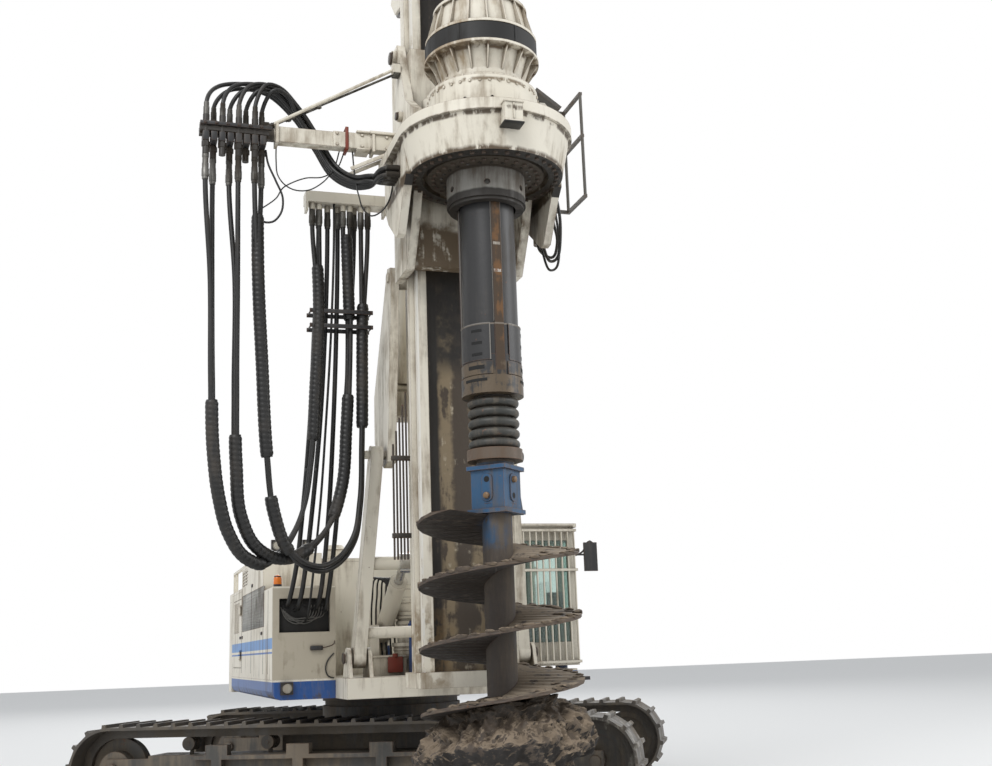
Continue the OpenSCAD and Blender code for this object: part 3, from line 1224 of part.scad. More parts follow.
car_body();
track_frame_right();
track_frame_left();
track_right();
track_left();
sprockets();
idlers();
track_rollers();
slew_ring();
upper_deck();
deck_nose();
counterweight();
house_right();
house_main();
house_roof();
service_door_right();
service_door_left();
engine_block();
cab_shell();
cab_door();
cab_glass();
cab_guard();
cab_seat();
rails_and_lamps();
boom();
steady_link();
luff_barrels();
luff_rods();
mast_bracket();
tilt_barrels();
tilt_rods();
mast_lower();
mast_upper();
mast_head();
crowd_barrel();
main_drum();
aux_drum();
front_sheaves();
rear_sheaves();
main_rope();
aux_rope();
aux_hook();
hose_bracket();
sledge();
rotary_drive();
hose_arm();
rotary_guard();
crowd_rod();
drive_collar();
guide_cones();
kelly_guide();
kelly_bar();
kelly_foot();
auger();
clay();
hose_loop_1();
hose_loop_2();
hose_loop_3();
hose_supply_1();
hose_supply_2();
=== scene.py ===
import math
import bpy
from mathutils import Matrix, Vector, noise


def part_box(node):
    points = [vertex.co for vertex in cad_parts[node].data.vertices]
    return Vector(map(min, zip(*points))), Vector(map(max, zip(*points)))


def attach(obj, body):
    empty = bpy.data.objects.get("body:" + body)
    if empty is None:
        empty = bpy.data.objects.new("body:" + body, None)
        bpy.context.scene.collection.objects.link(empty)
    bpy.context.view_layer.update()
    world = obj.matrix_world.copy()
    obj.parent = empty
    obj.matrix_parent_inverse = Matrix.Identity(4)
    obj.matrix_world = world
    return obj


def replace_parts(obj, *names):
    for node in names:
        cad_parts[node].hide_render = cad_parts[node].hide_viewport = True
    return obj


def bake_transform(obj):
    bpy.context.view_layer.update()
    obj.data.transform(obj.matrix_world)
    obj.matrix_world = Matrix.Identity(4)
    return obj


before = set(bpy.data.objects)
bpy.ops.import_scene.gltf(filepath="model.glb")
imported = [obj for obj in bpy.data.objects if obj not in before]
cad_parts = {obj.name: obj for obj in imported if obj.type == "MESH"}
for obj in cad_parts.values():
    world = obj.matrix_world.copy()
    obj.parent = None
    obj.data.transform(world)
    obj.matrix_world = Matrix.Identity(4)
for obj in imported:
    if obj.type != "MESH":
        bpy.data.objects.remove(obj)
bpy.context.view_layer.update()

bpy.ops.object.select_all(action="DESELECT")
scene = bpy.context.scene
scene.view_settings.view_transform = "Standard"

# Camera at eye height in front of the auger, a little to the hose side.
# It looks up at the rotary drive and leans slightly, as in the photograph.
yaw, pitch, roll = math.radians(17.79), math.radians(12.635), 0.035
picture_wide, focal_pixels = 992, 1200
view_cam = bpy.data.cameras.new("view_cam")
view_cam.sensor_width = 36
view_cam.lens = focal_pixels / picture_wide * 36
view_cam.clip_end = 500
view_from = bpy.data.objects.new("view_from", view_cam)
scene.collection.objects.link(view_from)
view_from.matrix_world = (Matrix.Translation((-3.353, -15.163, 1.65))
    @ Matrix.Rotation(-yaw, 4, "Z") @ Matrix.Rotation(math.pi / 2 + pitch, 4, "X")
    @ Matrix.Rotation(-roll, 4, "Z"))
scene.camera = view_from

# Soft studio light: a big lamp high on the camera's left, a weaker one at the right,
# and a pale world that looks white to the camera, to glass and to gloss.
for lamp_name, place, size, watts in (
        ("key_lamp", (-16, -22, 26), 14, 5200), ("fill_lamp", (20, -12, 12), 12, 1500),
        ("back_lamp", (4, 26, 22), 14, 2200)):
    lamp = bpy.data.lights.new(lamp_name, "AREA")
    lamp.size = size
    lamp.energy = watts
    lamp_at = bpy.data.objects.new(lamp_name, lamp)
    scene.collection.objects.link(lamp_at)
    lamp_at.location = place
    lamp_at.rotation_euler = (Vector((0, -2, 5)) - Vector(place)).to_track_quat("-Z", "Y").to_euler()
world = bpy.data.worlds.new("studio_air")
scene.world = world
world.use_nodes = True
air = world.node_tree.nodes
air_links = world.node_tree.links
air_light = air["Background"]
air_light.inputs[0].default_value = (0.93, 0.96, 1.0, 1)
air_light.inputs[1].default_value = 0.62
air_seen = air.new("ShaderNodeBackground")
air_seen.inputs[0].default_value = (1, 1, 1, 1)
air_seen.inputs[1].default_value = 1
air_rays = air.new("ShaderNodeLightPath").outputs
air_share = air_rays["Is Camera Ray"]
for ray in ("Is Transmission Ray", "Is Glossy Ray"):
    air_either = air.new("ShaderNodeMath")
    air_either.operation = "MAXIMUM"
    air_links.new(air_share, air_either.inputs[0])
    air_links.new(air_rays[ray], air_either.inputs[1])
    air_share = air_either.outputs[0]
air_mix = air.new("ShaderNodeMixShader")
air_links.new(air_share, air_mix.inputs[0])
air_links.new(air_light.outputs[0], air_mix.inputs[1])
air_links.new(air_seen.outputs[0], air_mix.inputs[2])
air_links.new(air_mix.outputs[0], air["World Output"].inputs[0])

# Plain pale floor under the machine.
# It is large, matt and keeps the machine's shadow.
bpy.ops.mesh.primitive_plane_add(size=160, location=(0, 0, -0.004))
floor = bpy.context.object
floor.name = "studio_floor"
floor.data.transform(floor.matrix_world)
floor.matrix_world = Matrix.Identity(4)
floor_skin = bpy.data.materials.new("pale_floor")
floor_skin.use_nodes = True
floor_skin.node_tree.nodes["Principled BSDF"].inputs["Base Color"].default_value = (0.8, 0.8, 0.79, 1)
floor_skin.node_tree.nodes["Principled BSDF"].inputs["Roughness"].default_value = 0.9
floor.data.materials.append(floor_skin)
bpy.ops.object.select_all(action="DESELECT")


# Painted and bare metal of the whole machine, all of it weathered steel.
# Noise gives dust, streaks and rust, and worn edges show the metal below.
# A zone is a tone that covers one stretch of the piece, such as a stripe or a mud line.
def zone(tone, soft=0.002, ragged=0.0, share=1.0, over=False, **where):
    return {"tone": tone, "soft": soft, "ragged": ragged, "share": share, "over": over, "where": where}


def weathered(name, colour, dirt, dirt_share=0.45, rust=(0.19, 0.08, 0.035), rust_share=0.2,
        gloss=0.45, metal=0.0, edge=0.6, streak=1.0, grain=1.0, grime_and_shade=0.0, zones=()):
    skin = bpy.data.materials.new(name)
    skin.use_nodes = True
    nodes, links = skin.node_tree.nodes, skin.node_tree.links
    shader = nodes["Principled BSDF"]
    shader.inputs["Metallic"].default_value = metal
    place = nodes.new("ShaderNodeTexCoord")

    def cloud_of(scale, detail, stretch):
        spread = nodes.new("ShaderNodeMapping")
        spread.inputs["Scale"].default_value = stretch
        links.new(place.outputs["Object"], spread.inputs[0])
        cloud = nodes.new("ShaderNodeTexNoise")
        cloud.inputs["Scale"].default_value = scale
        cloud.inputs["Detail"].default_value = detail
        cloud.inputs["Roughness"].default_value = 0.62
        links.new(spread.outputs[0], cloud.inputs["Vector"])
        return cloud.outputs["Fac"]

    def ramp(value, low, high):
        band = nodes.new("ShaderNodeMapRange")
        band.inputs["From Min"].default_value = low
        band.inputs["From Max"].default_value = high
        band.interpolation_type = "SMOOTHSTEP"
        links.new(value, band.inputs["Value"])
        return band.outputs["Result"]

    def math_of(kind, a, b):
        sum_node = nodes.new("ShaderNodeMath")
        sum_node.operation = kind
        links.new(a, sum_node.inputs[0])
        if isinstance(b, float):
            sum_node.inputs[1].default_value = b
        else:
            links.new(b, sum_node.inputs[1])
        return sum_node.outputs[0]

    def blend(share, under, over):
        mix = nodes.new("ShaderNodeMix")
        mix.data_type = "RGBA"
        links.new(share, mix.inputs[0])
        for socket, tone in ((6, under), (7, over)):
            if isinstance(tone, tuple):
                mix.inputs[socket].default_value = (*tone, 1)
            else:
                links.new(tone, mix.inputs[socket])
        return mix.outputs[2]

    axes = nodes.new("ShaderNodeSeparateXYZ")
    links.new(place.outputs["Object"], axes.inputs[0])
    facing = nodes.new("ShaderNodeNewGeometry")
    facing_axes = nodes.new("ShaderNodeSeparateXYZ")
    links.new(facing.outputs["True Normal"], facing_axes.inputs[0])

    def value_of(axis):
        if axis == "up":
            return facing_axes.outputs[2]
        if axis == "side":
            return math_of("ABSOLUTE", axes.outputs[0], 0.0)
        return axes.outputs["xyz".index(axis)]

    def covered(area):
        mask = None
        for axis, (low, high) in area["where"].items():
            value = value_of(axis)
            if area["ragged"] and axis != "up":
                shift = math_of("MULTIPLY", math_of("SUBTRACT", patch, 0.5), area["ragged"] * 4)
                value = math_of("ADD", value, shift)
            soft = slope_soft if axis == "up" else area["soft"]
            part = math_of("MULTIPLY", ramp(value, low - soft, low + soft),
                ramp(value, high + soft, high - soft))
            mask = part if mask is None else math_of("MULTIPLY", mask, part)
        share = area["share"]
        if share < 1.0:
            cloud = math_of("ADD", math_of("MULTIPLY", patch, 0.5), math_of("MULTIPLY", runs, 0.5))
            mask = math_of("MULTIPLY", mask, ramp(cloud, 0.68 - 0.34 * share, 0.76 - 0.34 * share))
        return mask

    slope_soft = 0.12
    broad = cloud_of(1.1, 8, (1, 1, 1))
    runs = cloud_of(2.2, 7, (5, 5, 5 / (1 + 7 * streak)))
    specks = cloud_of(26, 6, (1, 1, 1))
    patch = cloud_of(5.5, 9, (1, 1, 1))
    for area in zones:
        if not area["over"]:
            colour = blend(covered(area), colour, area["tone"])
    film = ramp(math_of("ADD", math_of("MULTIPLY", broad, 0.55), math_of("MULTIPLY", runs, 0.45)),
        0.62 - 0.3 * dirt_share, 0.80 - 0.3 * dirt_share)
    film = math_of("MULTIPLY", film, min(1.0, 0.35 + dirt_share))
    tone = blend(film, colour, dirt)
    spots = ramp(math_of("ADD", math_of("MULTIPLY", patch, 0.6), math_of("MULTIPLY", specks, 0.4)),
        0.68 - 0.16 * rust_share, 0.74 - 0.16 * rust_share)
    tone = blend(spots, tone, rust)
    if edge:
        soft = nodes.new("ShaderNodeBevel")
        soft.samples = 4
        soft.inputs["Radius"].default_value = 0.012
        flat = nodes.new("ShaderNodeNewGeometry")
        turn = nodes.new("ShaderNodeVectorMath")
        turn.operation = "DOT_PRODUCT"
        links.new(soft.outputs[0], turn.inputs[0])
        links.new(flat.outputs["True Normal"], turn.inputs[1])
        bare = math_of("SUBTRACT", ramp(turn.outputs["Value"], 1.0, 0.86), math_of("MULTIPLY", specks, 0.75))
        bare = math_of("MULTIPLY", ramp(bare, 0.1, 0.5), float(edge))
        tone = blend(bare, tone, (rust[0] * 0.8, rust[1] * 0.9, rust[2]))
    for area in zones:
        if area["over"]:
            tone = blend(covered(area), tone, area["tone"])
    # Ambient occlusion darkens corners, creases and recesses towards dark dirt: painted shade there, with
    # grime too.
    if grime_and_shade:
        corner = nodes.new("ShaderNodeAmbientOcclusion")
        corner.samples = 4
        corner.inputs["Distance"].default_value = 0.22
        tone = blend(math_of("MULTIPLY", ramp(corner.outputs["AO"], 0.85, 0.25), float(grime_and_shade)), tone,
            (dirt[0] * 0.35, dirt[1] * 0.33, dirt[2] * 0.3))
    links.new(tone, shader.inputs["Base Color"])
    rough = math_of("ADD", math_of("MULTIPLY", film, 0.4), float(gloss))
    links.new(rough, shader.inputs["Roughness"])
    bump = nodes.new("ShaderNodeBump")
    bump.inputs["Strength"].default_value = 0.35 * grain
    bump.inputs["Distance"].default_value = 0.004
    links.new(math_of("ADD", specks, spots), bump.inputs["Height"])
    links.new(bump.outputs[0], shader.inputs["Normal"])
    return skin


def wear(material, *names):
    for name in names:
        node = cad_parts[name]
        node.data.materials.clear()
        node.data.materials.append(material)


mud, soot = (0.075, 0.055, 0.038), (0.012, 0.011, 0.010)
cream, old_mud = (0.76, 0.71, 0.60), (0.25, 0.19, 0.125)
white = weathered("cream_white", cream, old_mud, 0.5, rust_share=0.3, grime_and_shade=0.75)

# Paint of the house and the cab: white with a light blue stripe round the sides, splashed low down.
# The deck below it is deep blue with a white line on top.
side_wall = (1.705, 1.80)
house_white = weathered("house_white", cream, old_mud, 0.45, rust_share=0.22, grime_and_shade=0.7, zones=(
    zone((0.10, 0.27, 0.58), z=(1.765, 1.88), side=side_wall, y=(-1.99, 2.58)),
    zone((0.045, 0.16, 0.46), z=(1.715, 1.735), side=side_wall, y=(-1.99, 2.58)),
    zone((0.22, 0.22, 0.21), z=(2.02, 2.48), side=(1.700, 1.719), y=(-1.22, 1.21)),
    zone(soot, z=(2.03, 2.09), side=(1.700, 1.7245), y=(-1.22, 1.21)),
    zone((0.46, 0.41, 0.32), y=(-2.02, -1.97), z=(1.44, 2.40), soft=0.004, over=True),
    zone((0.29, 0.24, 0.175), y=(-2.02, -1.97), z=(1.44, 2.2), soft=0.2, ragged=0.12, share=0.45, over=True),
    zone((0.24, 0.20, 0.15), z=(1.40, 1.60), soft=0.12, ragged=0.06, share=0.4, over=True)))
deck_blue = weathered("deck_blue", (0.010, 0.072, 0.27), (0.20, 0.185, 0.16), 0.42, rust_share=0.14,
    grime_and_shade=0.6, zones=(
    zone(cream, z=(1.418, 1.45)),
    zone((0.045, 0.12, 0.34), side=side_wall, z=(1.2, 1.418)),
    zone(mud, z=(1.20, 1.30), soft=0.03, ragged=0.03, share=0.55, over=True)))

# Mast: white outside, its front between the rails brown with old drilling mud,
# wiped bright where the sledge's shoes slide.
mast_white = weathered("mast_white", cream, old_mud, 0.5, rust_share=0.28, grime_and_shade=0.6, zones=(
    zone((0.060, 0.045, 0.032), side=(-0.1, 0.352), y=(-3.60, -3.43), z=(0.5, 21), over=True),
    zone((0.22, 0.17, 0.105), side=(0.10, 0.235), y=(-3.60, -3.43), z=(1.0, 5.2), soft=0.03, ragged=0.04,
        share=0.75, over=True),
    zone((0.42, 0.37, 0.28), side=(-0.1, 0.36), y=(-3.60, -3.43), z=(1.0, 4.4), soft=0.02, share=0.34,
        ragged=0.02, over=True),
    # Painted shade: the front between the rails is near black from 4.55 m up.
    zone((0.014, 0.012, 0.010), side=(-0.1, 0.352), y=(-3.60, -3.43), z=(4.55, 21), soft=0.1, ragged=0.1,
        share=0.93, over=True),
    # Painted shade: a near-black strip down the recess beside each rail.
    zone((0.014, 0.012, 0.010), side=(0.245, 0.362), y=(-3.60, -3.43), z=(1.4, 21), soft=0.012, ragged=0.006,
        share=0.95, over=True),
    zone((0.20, 0.125, 0.05), z=(1.4, 2.1), side=(0.30, 0.6), soft=0.25, ragged=0.2, share=0.7, over=True),
    zone((0.80, 0.77, 0.70), side=(0.455, 0.49), y=(-3.61, -3.52), share=0.85, over=True)))

# Rotary drive, cones, arm and sledge: cast and welded steel, painted the same white.
# The casing's underside and the recess under its drum are painted near black as shade, and rust and oil run
# down below each flange.
drive_white = weathered("drive_white", cream, old_mud, 0.45, rust_share=0.28, grime_and_shade=0.8, zones=(
    zone((0.10, 0.07, 0.042), z=(6.10, 6.215), soft=0.02, ragged=0.02, share=0.8, over=True),
    # Painted shade: the casing's underside and the recess under the drum are near black.
    zone((0.016, 0.013, 0.010), z=(6.10, 6.27), up=(-1.2, -0.5), over=True),
    zone((0.016, 0.013, 0.010), z=(6.15, 6.262), y=(-5.13, -4.07), side=(-0.1, 0.53), over=True),
    zone((0.10, 0.075, 0.05), z=(6.50, 6.545), soft=0.012, ragged=0.012, share=0.7, over=True),
    zone((0.22, 0.17, 0.11), z=(6.985, 7.02), soft=0.01, ragged=0.01, share=0.6, over=True)))
cone_white = weathered("cone_white", cream, (0.30, 0.22, 0.13), 0.55, rust_share=0.3, grime_and_shade=0.9, zones=(
    zone((0.12, 0.08, 0.045), z=(7.35, 7.385), soft=0.012, ragged=0.01, share=0.7, over=True),))
arm_white = weathered("arm_white", cream, old_mud, 0.5, rust_share=0.34, grime_and_shade=0.6, zones=(
    zone((0.028, 0.024, 0.02), x=(-2.9, -1.955), y=(-4.0, -3.4), z=(6.3, 7.2), over=True),))
sledge_white = weathered("sledge_white", cream, old_mud, 0.5, rust_share=0.3, grime_and_shade=0.8, zones=(
    zone((0.17, 0.125, 0.08), z=(5.40, 5.98), side=(-0.1, 0.54), soft=0.05, ragged=0.08, share=0.85,
        over=True),))
guard_grey = weathered("guard_grey", (0.09, 0.085, 0.075), (0.16, 0.13, 0.10), 0.5, rust_share=0.4, edge=0.8)

# Kelly, drive collar, foot and auger: drawn and welded steel, dark with oil and clay.
# A brown channel runs down each key, the drive box is blue, and the flights are worn at their rims.
kelly_steel = weathered("kelly_steel", (0.030, 0.030, 0.031), (0.070, 0.060, 0.050), 0.4, rust_share=0.3,
    gloss=0.38, metal=0.25, streak=2.0, zones=(
    zone((0.062, 0.040, 0.024), x=(-0.041, 0.041), y=(-4.95, -4.80), z=(4.2, 14.7), over=True),
    zone((0.15, 0.075, 0.03), x=(-0.041, 0.041), y=(-4.95, -4.80), z=(4.2, 14.7), share=0.5, over=True),
    zone((0.115, 0.085, 0.055), z=(3.98, 4.285), soft=0.02, ragged=0.012, share=0.75, over=True),
    zone((0.19, 0.16, 0.13), z=(4.640, 4.656), soft=0.002, over=True)))
collar_steel = weathered("collar_steel", (0.27, 0.26, 0.235), (0.10, 0.08, 0.06), 0.55, rust_share=0.35,
    gloss=0.5, metal=0.1, streak=1.2, grime_and_shade=0.6, zones=(
    zone((0.028, 0.024, 0.02), z=(5.80, 5.955), soft=0.012, ragged=0.01, over=True),
    zone((0.05, 0.038, 0.026), z=(6.165, 6.4), soft=0.01, ragged=0.01, over=True)))
foot_blue = weathered("foot_blue", (0.017, 0.080, 0.175), (0.12, 0.10, 0.08), 0.5, rust_share=0.55, edge=0.9,
    grime_and_shade=0.8, zones=(
    zone((0.034, 0.035, 0.031), z=(3.488, 20), soft=0.004),
    zone((0.105, 0.07, 0.045), z=(3.36, 3.488), soft=0.004, ragged=0.004),
    zone((0.10, 0.085, 0.065), z=(3.5, 20), share=0.45, over=True)))
auger_steel = weathered("auger_steel", (0.060, 0.048, 0.040), (0.14, 0.115, 0.09), 0.7, rust_share=0.4,
    gloss=0.6, metal=0.05, edge=0.6, grain=2.4, grime_and_shade=0.5, zones=(
    zone((0.017, 0.080, 0.175), z=(2.60, 2.95), side=(-0.1, 0.15), y=(-4.745, -4.455), soft=0.07, ragged=0.08,
        share=0.95),
    zone((0.27, 0.215, 0.155), up=(0.75, 1.3), z=(0.9, 2.95), share=0.78, over=True),
    # Painted shade: the flights' undersides are near black.
    zone((0.030, 0.025, 0.022), up=(-1.3, -0.75), share=0.9, over=True),
    zone((0.20, 0.20, 0.20), z=(1.95, 2.30), side=(0.55, 0.80), soft=0.05, share=0.3, over=True)))
clay_wet = weathered("clay_wet", (0.065, 0.047, 0.034), (0.15, 0.115, 0.08), 0.7, rust_share=0.0, gloss=0.62,
    edge=0.0, streak=0.0, grain=3.0, grime_and_shade=0.9, zones=(
    # Painted shade: low on the heap, faces that look down are near black.
    zone((0.018, 0.015, 0.013), z=(-0.1, 1.4), up=(-1.2, -0.08), soft=0.05, ragged=0.06, share=0.9,
        over=True),
    # Painted light: faces that look up are lighter brown, as if lit from above.
    zone((0.24, 0.185, 0.13), up=(0.45, 1.3), share=0.75, over=True)))

# Undercarriage, winches, rods and ropes: grey paint caked with clay, bare shoes worn bright on their
# bars, hard chrome on the rods and greasy rope.
frame_grey = weathered("frame_grey", (0.065, 0.062, 0.056), (0.19, 0.155, 0.115), 0.7, rust_share=0.35,
    grime_and_shade=0.7)
shoe_steel = weathered("shoe_steel", (0.085, 0.076, 0.066), (0.15, 0.125, 0.095), 0.65, rust_share=0.4,
    metal=0.25, edge=0.0, grime_and_shade=0.8, zones=(
    zone((0.42, 0.40, 0.36), z=(1.005, 1.08), soft=0.004, share=0.85, over=True),
    zone((0.36, 0.34, 0.30), y=(-9, -2.62), z=(0.05, 1.0), soft=0.03, share=0.5, over=True)))
winch_grey = weathered("winch_grey", (0.10, 0.10, 0.10), (0.16, 0.13, 0.10), 0.5, rust_share=0.35, grime_and_shade=0.5)
chrome = weathered("chrome_rod", (0.62, 0.62, 0.62), (0.2, 0.18, 0.15), 0.3, rust_share=0.08, gloss=0.2,
    metal=0.9, edge=0.0)
black = weathered("satin_black", (0.018, 0.018, 0.019), (0.09, 0.08, 0.07), 0.4, rust_share=0.08)
rope_steel = weathered("rope_steel", (0.07, 0.065, 0.06), (0.03, 0.026, 0.022), 0.6, rust_share=0.2,
    gloss=0.4, metal=0.7, edge=0.0, streak=0.0, grain=3.0)
wear(house_white, "counterweight", "house_right", "house_main", "house_roof", "service_door_right",
    "service_door_left", "cab_shell", "cab_door", "cab_guard")
wear(white, "boom", "steady_link", "luff_barrels", "mast_bracket", "tilt_barrels", "mast_head",
    "crowd_barrel", "deck_nose", "hose_bracket", "kelly_guide")
wear(mast_white, "mast_lower", "mast_upper")
wear(drive_white, "rotary_drive")
wear(cone_white, "guide_cones")
wear(arm_white, "hose_arm")
wear(sledge_white, "sledge")
wear(guard_grey, "rotary_guard")
wear(deck_blue, "upper_deck")
wear(foot_blue, "kelly_foot")
wear(kelly_steel, "kelly_bar")
wear(collar_steel, "drive_collar")
wear(frame_grey, "car_body", "track_frame_right", "track_frame_left", "sprockets", "idlers", "track_rollers",
    "slew_ring", "engine_block")
wear(winch_grey, "main_drum", "aux_drum", "front_sheaves", "rear_sheaves", "aux_hook")
wear(shoe_steel, "track_right", "track_left")
wear(auger_steel, "auger")
wear(clay_wet, "clay")
wear(chrome, "luff_rods", "tilt_rods", "crowd_rod")
wear(black, "rails_and_lamps", "cab_seat")
wear(rope_steel, "main_rope", "aux_rope")

# Tinted flat glass of the cab, held in black rubber, dusty at its edges.
# Thin panes, so light passes through.
tint = bpy.data.materials.new("green_glass")
tint.use_nodes = True
pane = tint.node_tree.nodes["Principled BSDF"]
pane.inputs["Base Color"].default_value = (0.55, 0.72, 0.66, 1)
pane.inputs["Roughness"].default_value = 0.04
pane.inputs["Transmission Weight"].default_value = 0.85
pane.inputs["IOR"].default_value = 1.45
wear(tint, "cab_glass")

# Pressure hoses between the manifold on the sledge, the clamp on the mast and the house.
# Black rubber over wire braid, each end in a crimped steel fitting on its stub.
rubber = weathered("hose_rubber", (0.009, 0.0088, 0.0085), (0.060, 0.050, 0.040), 0.42, rust_share=0.0,
    gloss=0.42, edge=0.0, streak=0.3, grain=0.5)
fitting_steel = weathered("fitting_steel", (0.21, 0.205, 0.19), (0.045, 0.038, 0.03), 0.75, rust_share=0.35,
    gloss=0.36, metal=0.6, edge=0.0)


def smooth_line(points, step):
    knots = [Vector(point) for point in points]
    knots = [knots[0] * 2 - knots[1]] + knots + [knots[-1] * 2 - knots[-2]]
    line = []
    for a, b, c, d in zip(knots, knots[1:], knots[2:], knots[3:]):
        reach = (c - b).length
        before, after = max((b - a).length, 1e-6), max((d - c).length, 1e-6)
        leave = ((c - b) / reach * before + (b - a) / before * reach) / (before + reach) * reach
        meet = ((c - b) / reach * after + (d - c) / after * reach) / (after + reach) * reach
        count = max(1, round(reach / step))
        for i in range(count):
            t = i / count
            line.append(b * (2 * t ** 3 - 3 * t ** 2 + 1) + leave * (t ** 3 - 2 * t ** 2 + t)
                + c * (3 * t ** 2 - 2 * t ** 3) + meet * (t ** 3 - t ** 2))
    line.append(knots[-2])
    return line


def tube_round(name, line, radius, material, sides=10):
    tube = bpy.data.objects.new(name, bpy.data.meshes.new(name))
    scene.collection.objects.link(tube)
    corners, faces = [], []
    across = (line[1] - line[0]).orthogonal().normalized()
    for i, point in enumerate(line):
        ahead = (line[min(i + 1, len(line) - 1)] - line[max(i - 1, 0)]).normalized()
        across = (across - ahead * across.dot(ahead)).normalized()
        beside = ahead.cross(across)
        for k in range(sides):
            turn = 2 * math.pi * k / sides
            thick = radius(i, turn) if callable(radius) else radius
            corners.append(point + (across * math.cos(turn) + beside * math.sin(turn)) * thick)
            if i:
                low, next_low = (i - 1) * sides + k, (i - 1) * sides + (k + 1) % sides
                faces.append((low, next_low, next_low + sides, low + sides))
    faces.append(tuple(reversed(range(sides))))
    faces.append(tuple(range(len(corners) - sides, len(corners))))
    tube.data.from_pydata(corners, [], faces)
    tube.data.polygons.foreach_set("use_smooth", [len(face) == 4 for face in faces])
    tube.data.materials.append(material)
    return tube


hose_d, thin_d, hose_step = 0.052, 0.026, 0.045
manifold_stubs = [(-2.63 + 0.08 * i, (-3.76, -3.64)[i % 2]) for i in range(8)]
loop_routes = {
    "hose_loop_1": ((-2.55, -3.64, 6.56), (-2.55, -3.64, 6.38), (-2.54, -3.68, 5.3), (-2.52, -3.7, 4.3),
        (-2.49, -3.68, 3.6), (-2.43, -3.64, 3.18), (-2.33, -3.58, 2.85), (-2.18, -3.5, 2.64),
        (-2.0, -3.42, 2.57), (-1.82, -3.32, 2.68), (-1.66, -3.23, 2.9), (-1.56, -3.16, 3.15),
        (-1.48, -3.1, 3.6), (-1.43, -3.08, 4.4), (-1.39, -3.06, 5.2), (-1.39, -3.06, 6.2),
        (-1.39, -3.06, 6.33)),
    "hose_loop_2": ((-2.31, -3.76, 6.56), (-2.31, -3.76, 6.38), (-2.3, -3.74, 5.3), (-2.29, -3.7, 4.2),
        (-2.27, -3.66, 3.5), (-2.21, -3.6, 3.0), (-2.08, -3.53, 2.75), (-1.9, -3.44, 2.64),
        (-1.7, -3.34, 2.64), (-1.48, -3.23, 2.76), (-1.28, -3.14, 3.0), (-1.16, -3.1, 3.35),
        (-1.1, -3.08, 4.0), (-1.06, -3.06, 5.0), (-1.06, -3.06, 6.2), (-1.06, -3.06, 6.33)),
    "hose_loop_3": ((-2.15, -3.76, 6.56), (-2.15, -3.76, 6.38), (-2.11, -3.74, 5.4), (-2.06, -3.7, 4.5),
        (-2.0, -3.65, 3.6), (-1.92, -3.58, 3.05), (-1.79, -3.5, 2.73), (-1.61, -3.42, 2.57),
        (-1.42, -3.34, 2.53), (-1.23, -3.25, 2.62), (-1.07, -3.17, 2.83), (-0.99, -3.11, 3.2),
        (-0.96, -3.08, 3.8), (-0.94, -3.06, 5.0), (-0.94, -3.06, 6.2), (-0.94, -3.06, 6.33))}
# The hose beside each of them: its shift at the manifold, along the way and at the clamp.
loop_beside = {
    "hose_loop_1": ("hose_loop_4", (-0.08, -0.12, 0), (-0.02, -0.055, -0.045), (-0.075, 0, 0)),
    "hose_loop_2": ("hose_loop_5", (-0.08, 0.12, 0), (-0.02, 0.055, -0.045), (-0.075, 0, 0)),
    "hose_loop_3": ("hose_loop_6", (0.08, 0.12, 0), (0.02, 0.055, -0.045), (0.075, 0, 0))}
# Spiral guards round each pair: from and to, as shares of the way from manifold to clamp.
loop_guards = {
    "hose_loop_1": ((0.30, 0.52), (0.70, 0.93)),
    "hose_loop_2": ((0.34, 0.55), (0.60, 0.76), (0.86, 0.97)),
    "hose_loop_3": ((0.07, 0.36), (0.40, 0.47), (0.72, 0.88))}


def guard_round(name, line, start, end, thick):
    first, last = round(start * (len(line) - 1)), round(end * (len(line) - 1))
    part = smooth_line(line[first:last + 1], 0.009)
    ridge_pitch = 0.05
    far = [0.0]
    for a, b in zip(part, part[1:]):
        far.append(far[-1] + (b - a).length)

    def wrap(i, turn):
        ridge = (far[i] / ridge_pitch + turn / (2 * math.pi)) % 1.0
        slim = min(1.0, min(far[i], far[-1] - far[i]) / 0.03)
        return thick * (0.86 + 0.14 * slim) * (0.90 + 0.10 * math.sin(math.pi * ridge) ** 0.5)

    return tube_round(name, part, wrap, rubber, 12)


def lay_hose(name, line, thick, bodies, start=None, sides=10, stands_for=""):
    hose = tube_round(name, line, thick / 2, rubber, sides)
    if start:
        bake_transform(hose)
    else:
        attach(hose, *bodies)
    if stands_for:
        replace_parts(hose, stands_for)


loop_bodies, loop_start, loop_end = ("sledge", "mast"), (-2.3, 0, 0), (-1.3, 0, 0)
for first_name, route in loop_routes.items():
    second_name, at_start, on_way, at_end = loop_beside[first_name]
    second = []
    for i, point in enumerate(route):
        shift = at_start if i < 2 else at_end if i > len(route) - 3 else on_way
        second.append(tuple(a + b for a, b in zip(point, shift)))
    lines = [smooth_line(way, hose_step) for way in (route, second)]
    middle = [(a + b) / 2 for a, b in zip(*lines)]
    for j, (start, end) in enumerate(loop_guards[first_name]):
        guard = guard_round(f"{first_name}_guard_{j + 1}", middle, start, end, 0.064)
        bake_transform(guard)
    lay_hose(first_name + "_rubber", lines[0], hose_d, loop_bodies, loop_start,
        stands_for=first_name)
    lay_hose(second_name, lines[1], hose_d, loop_bodies, loop_start)
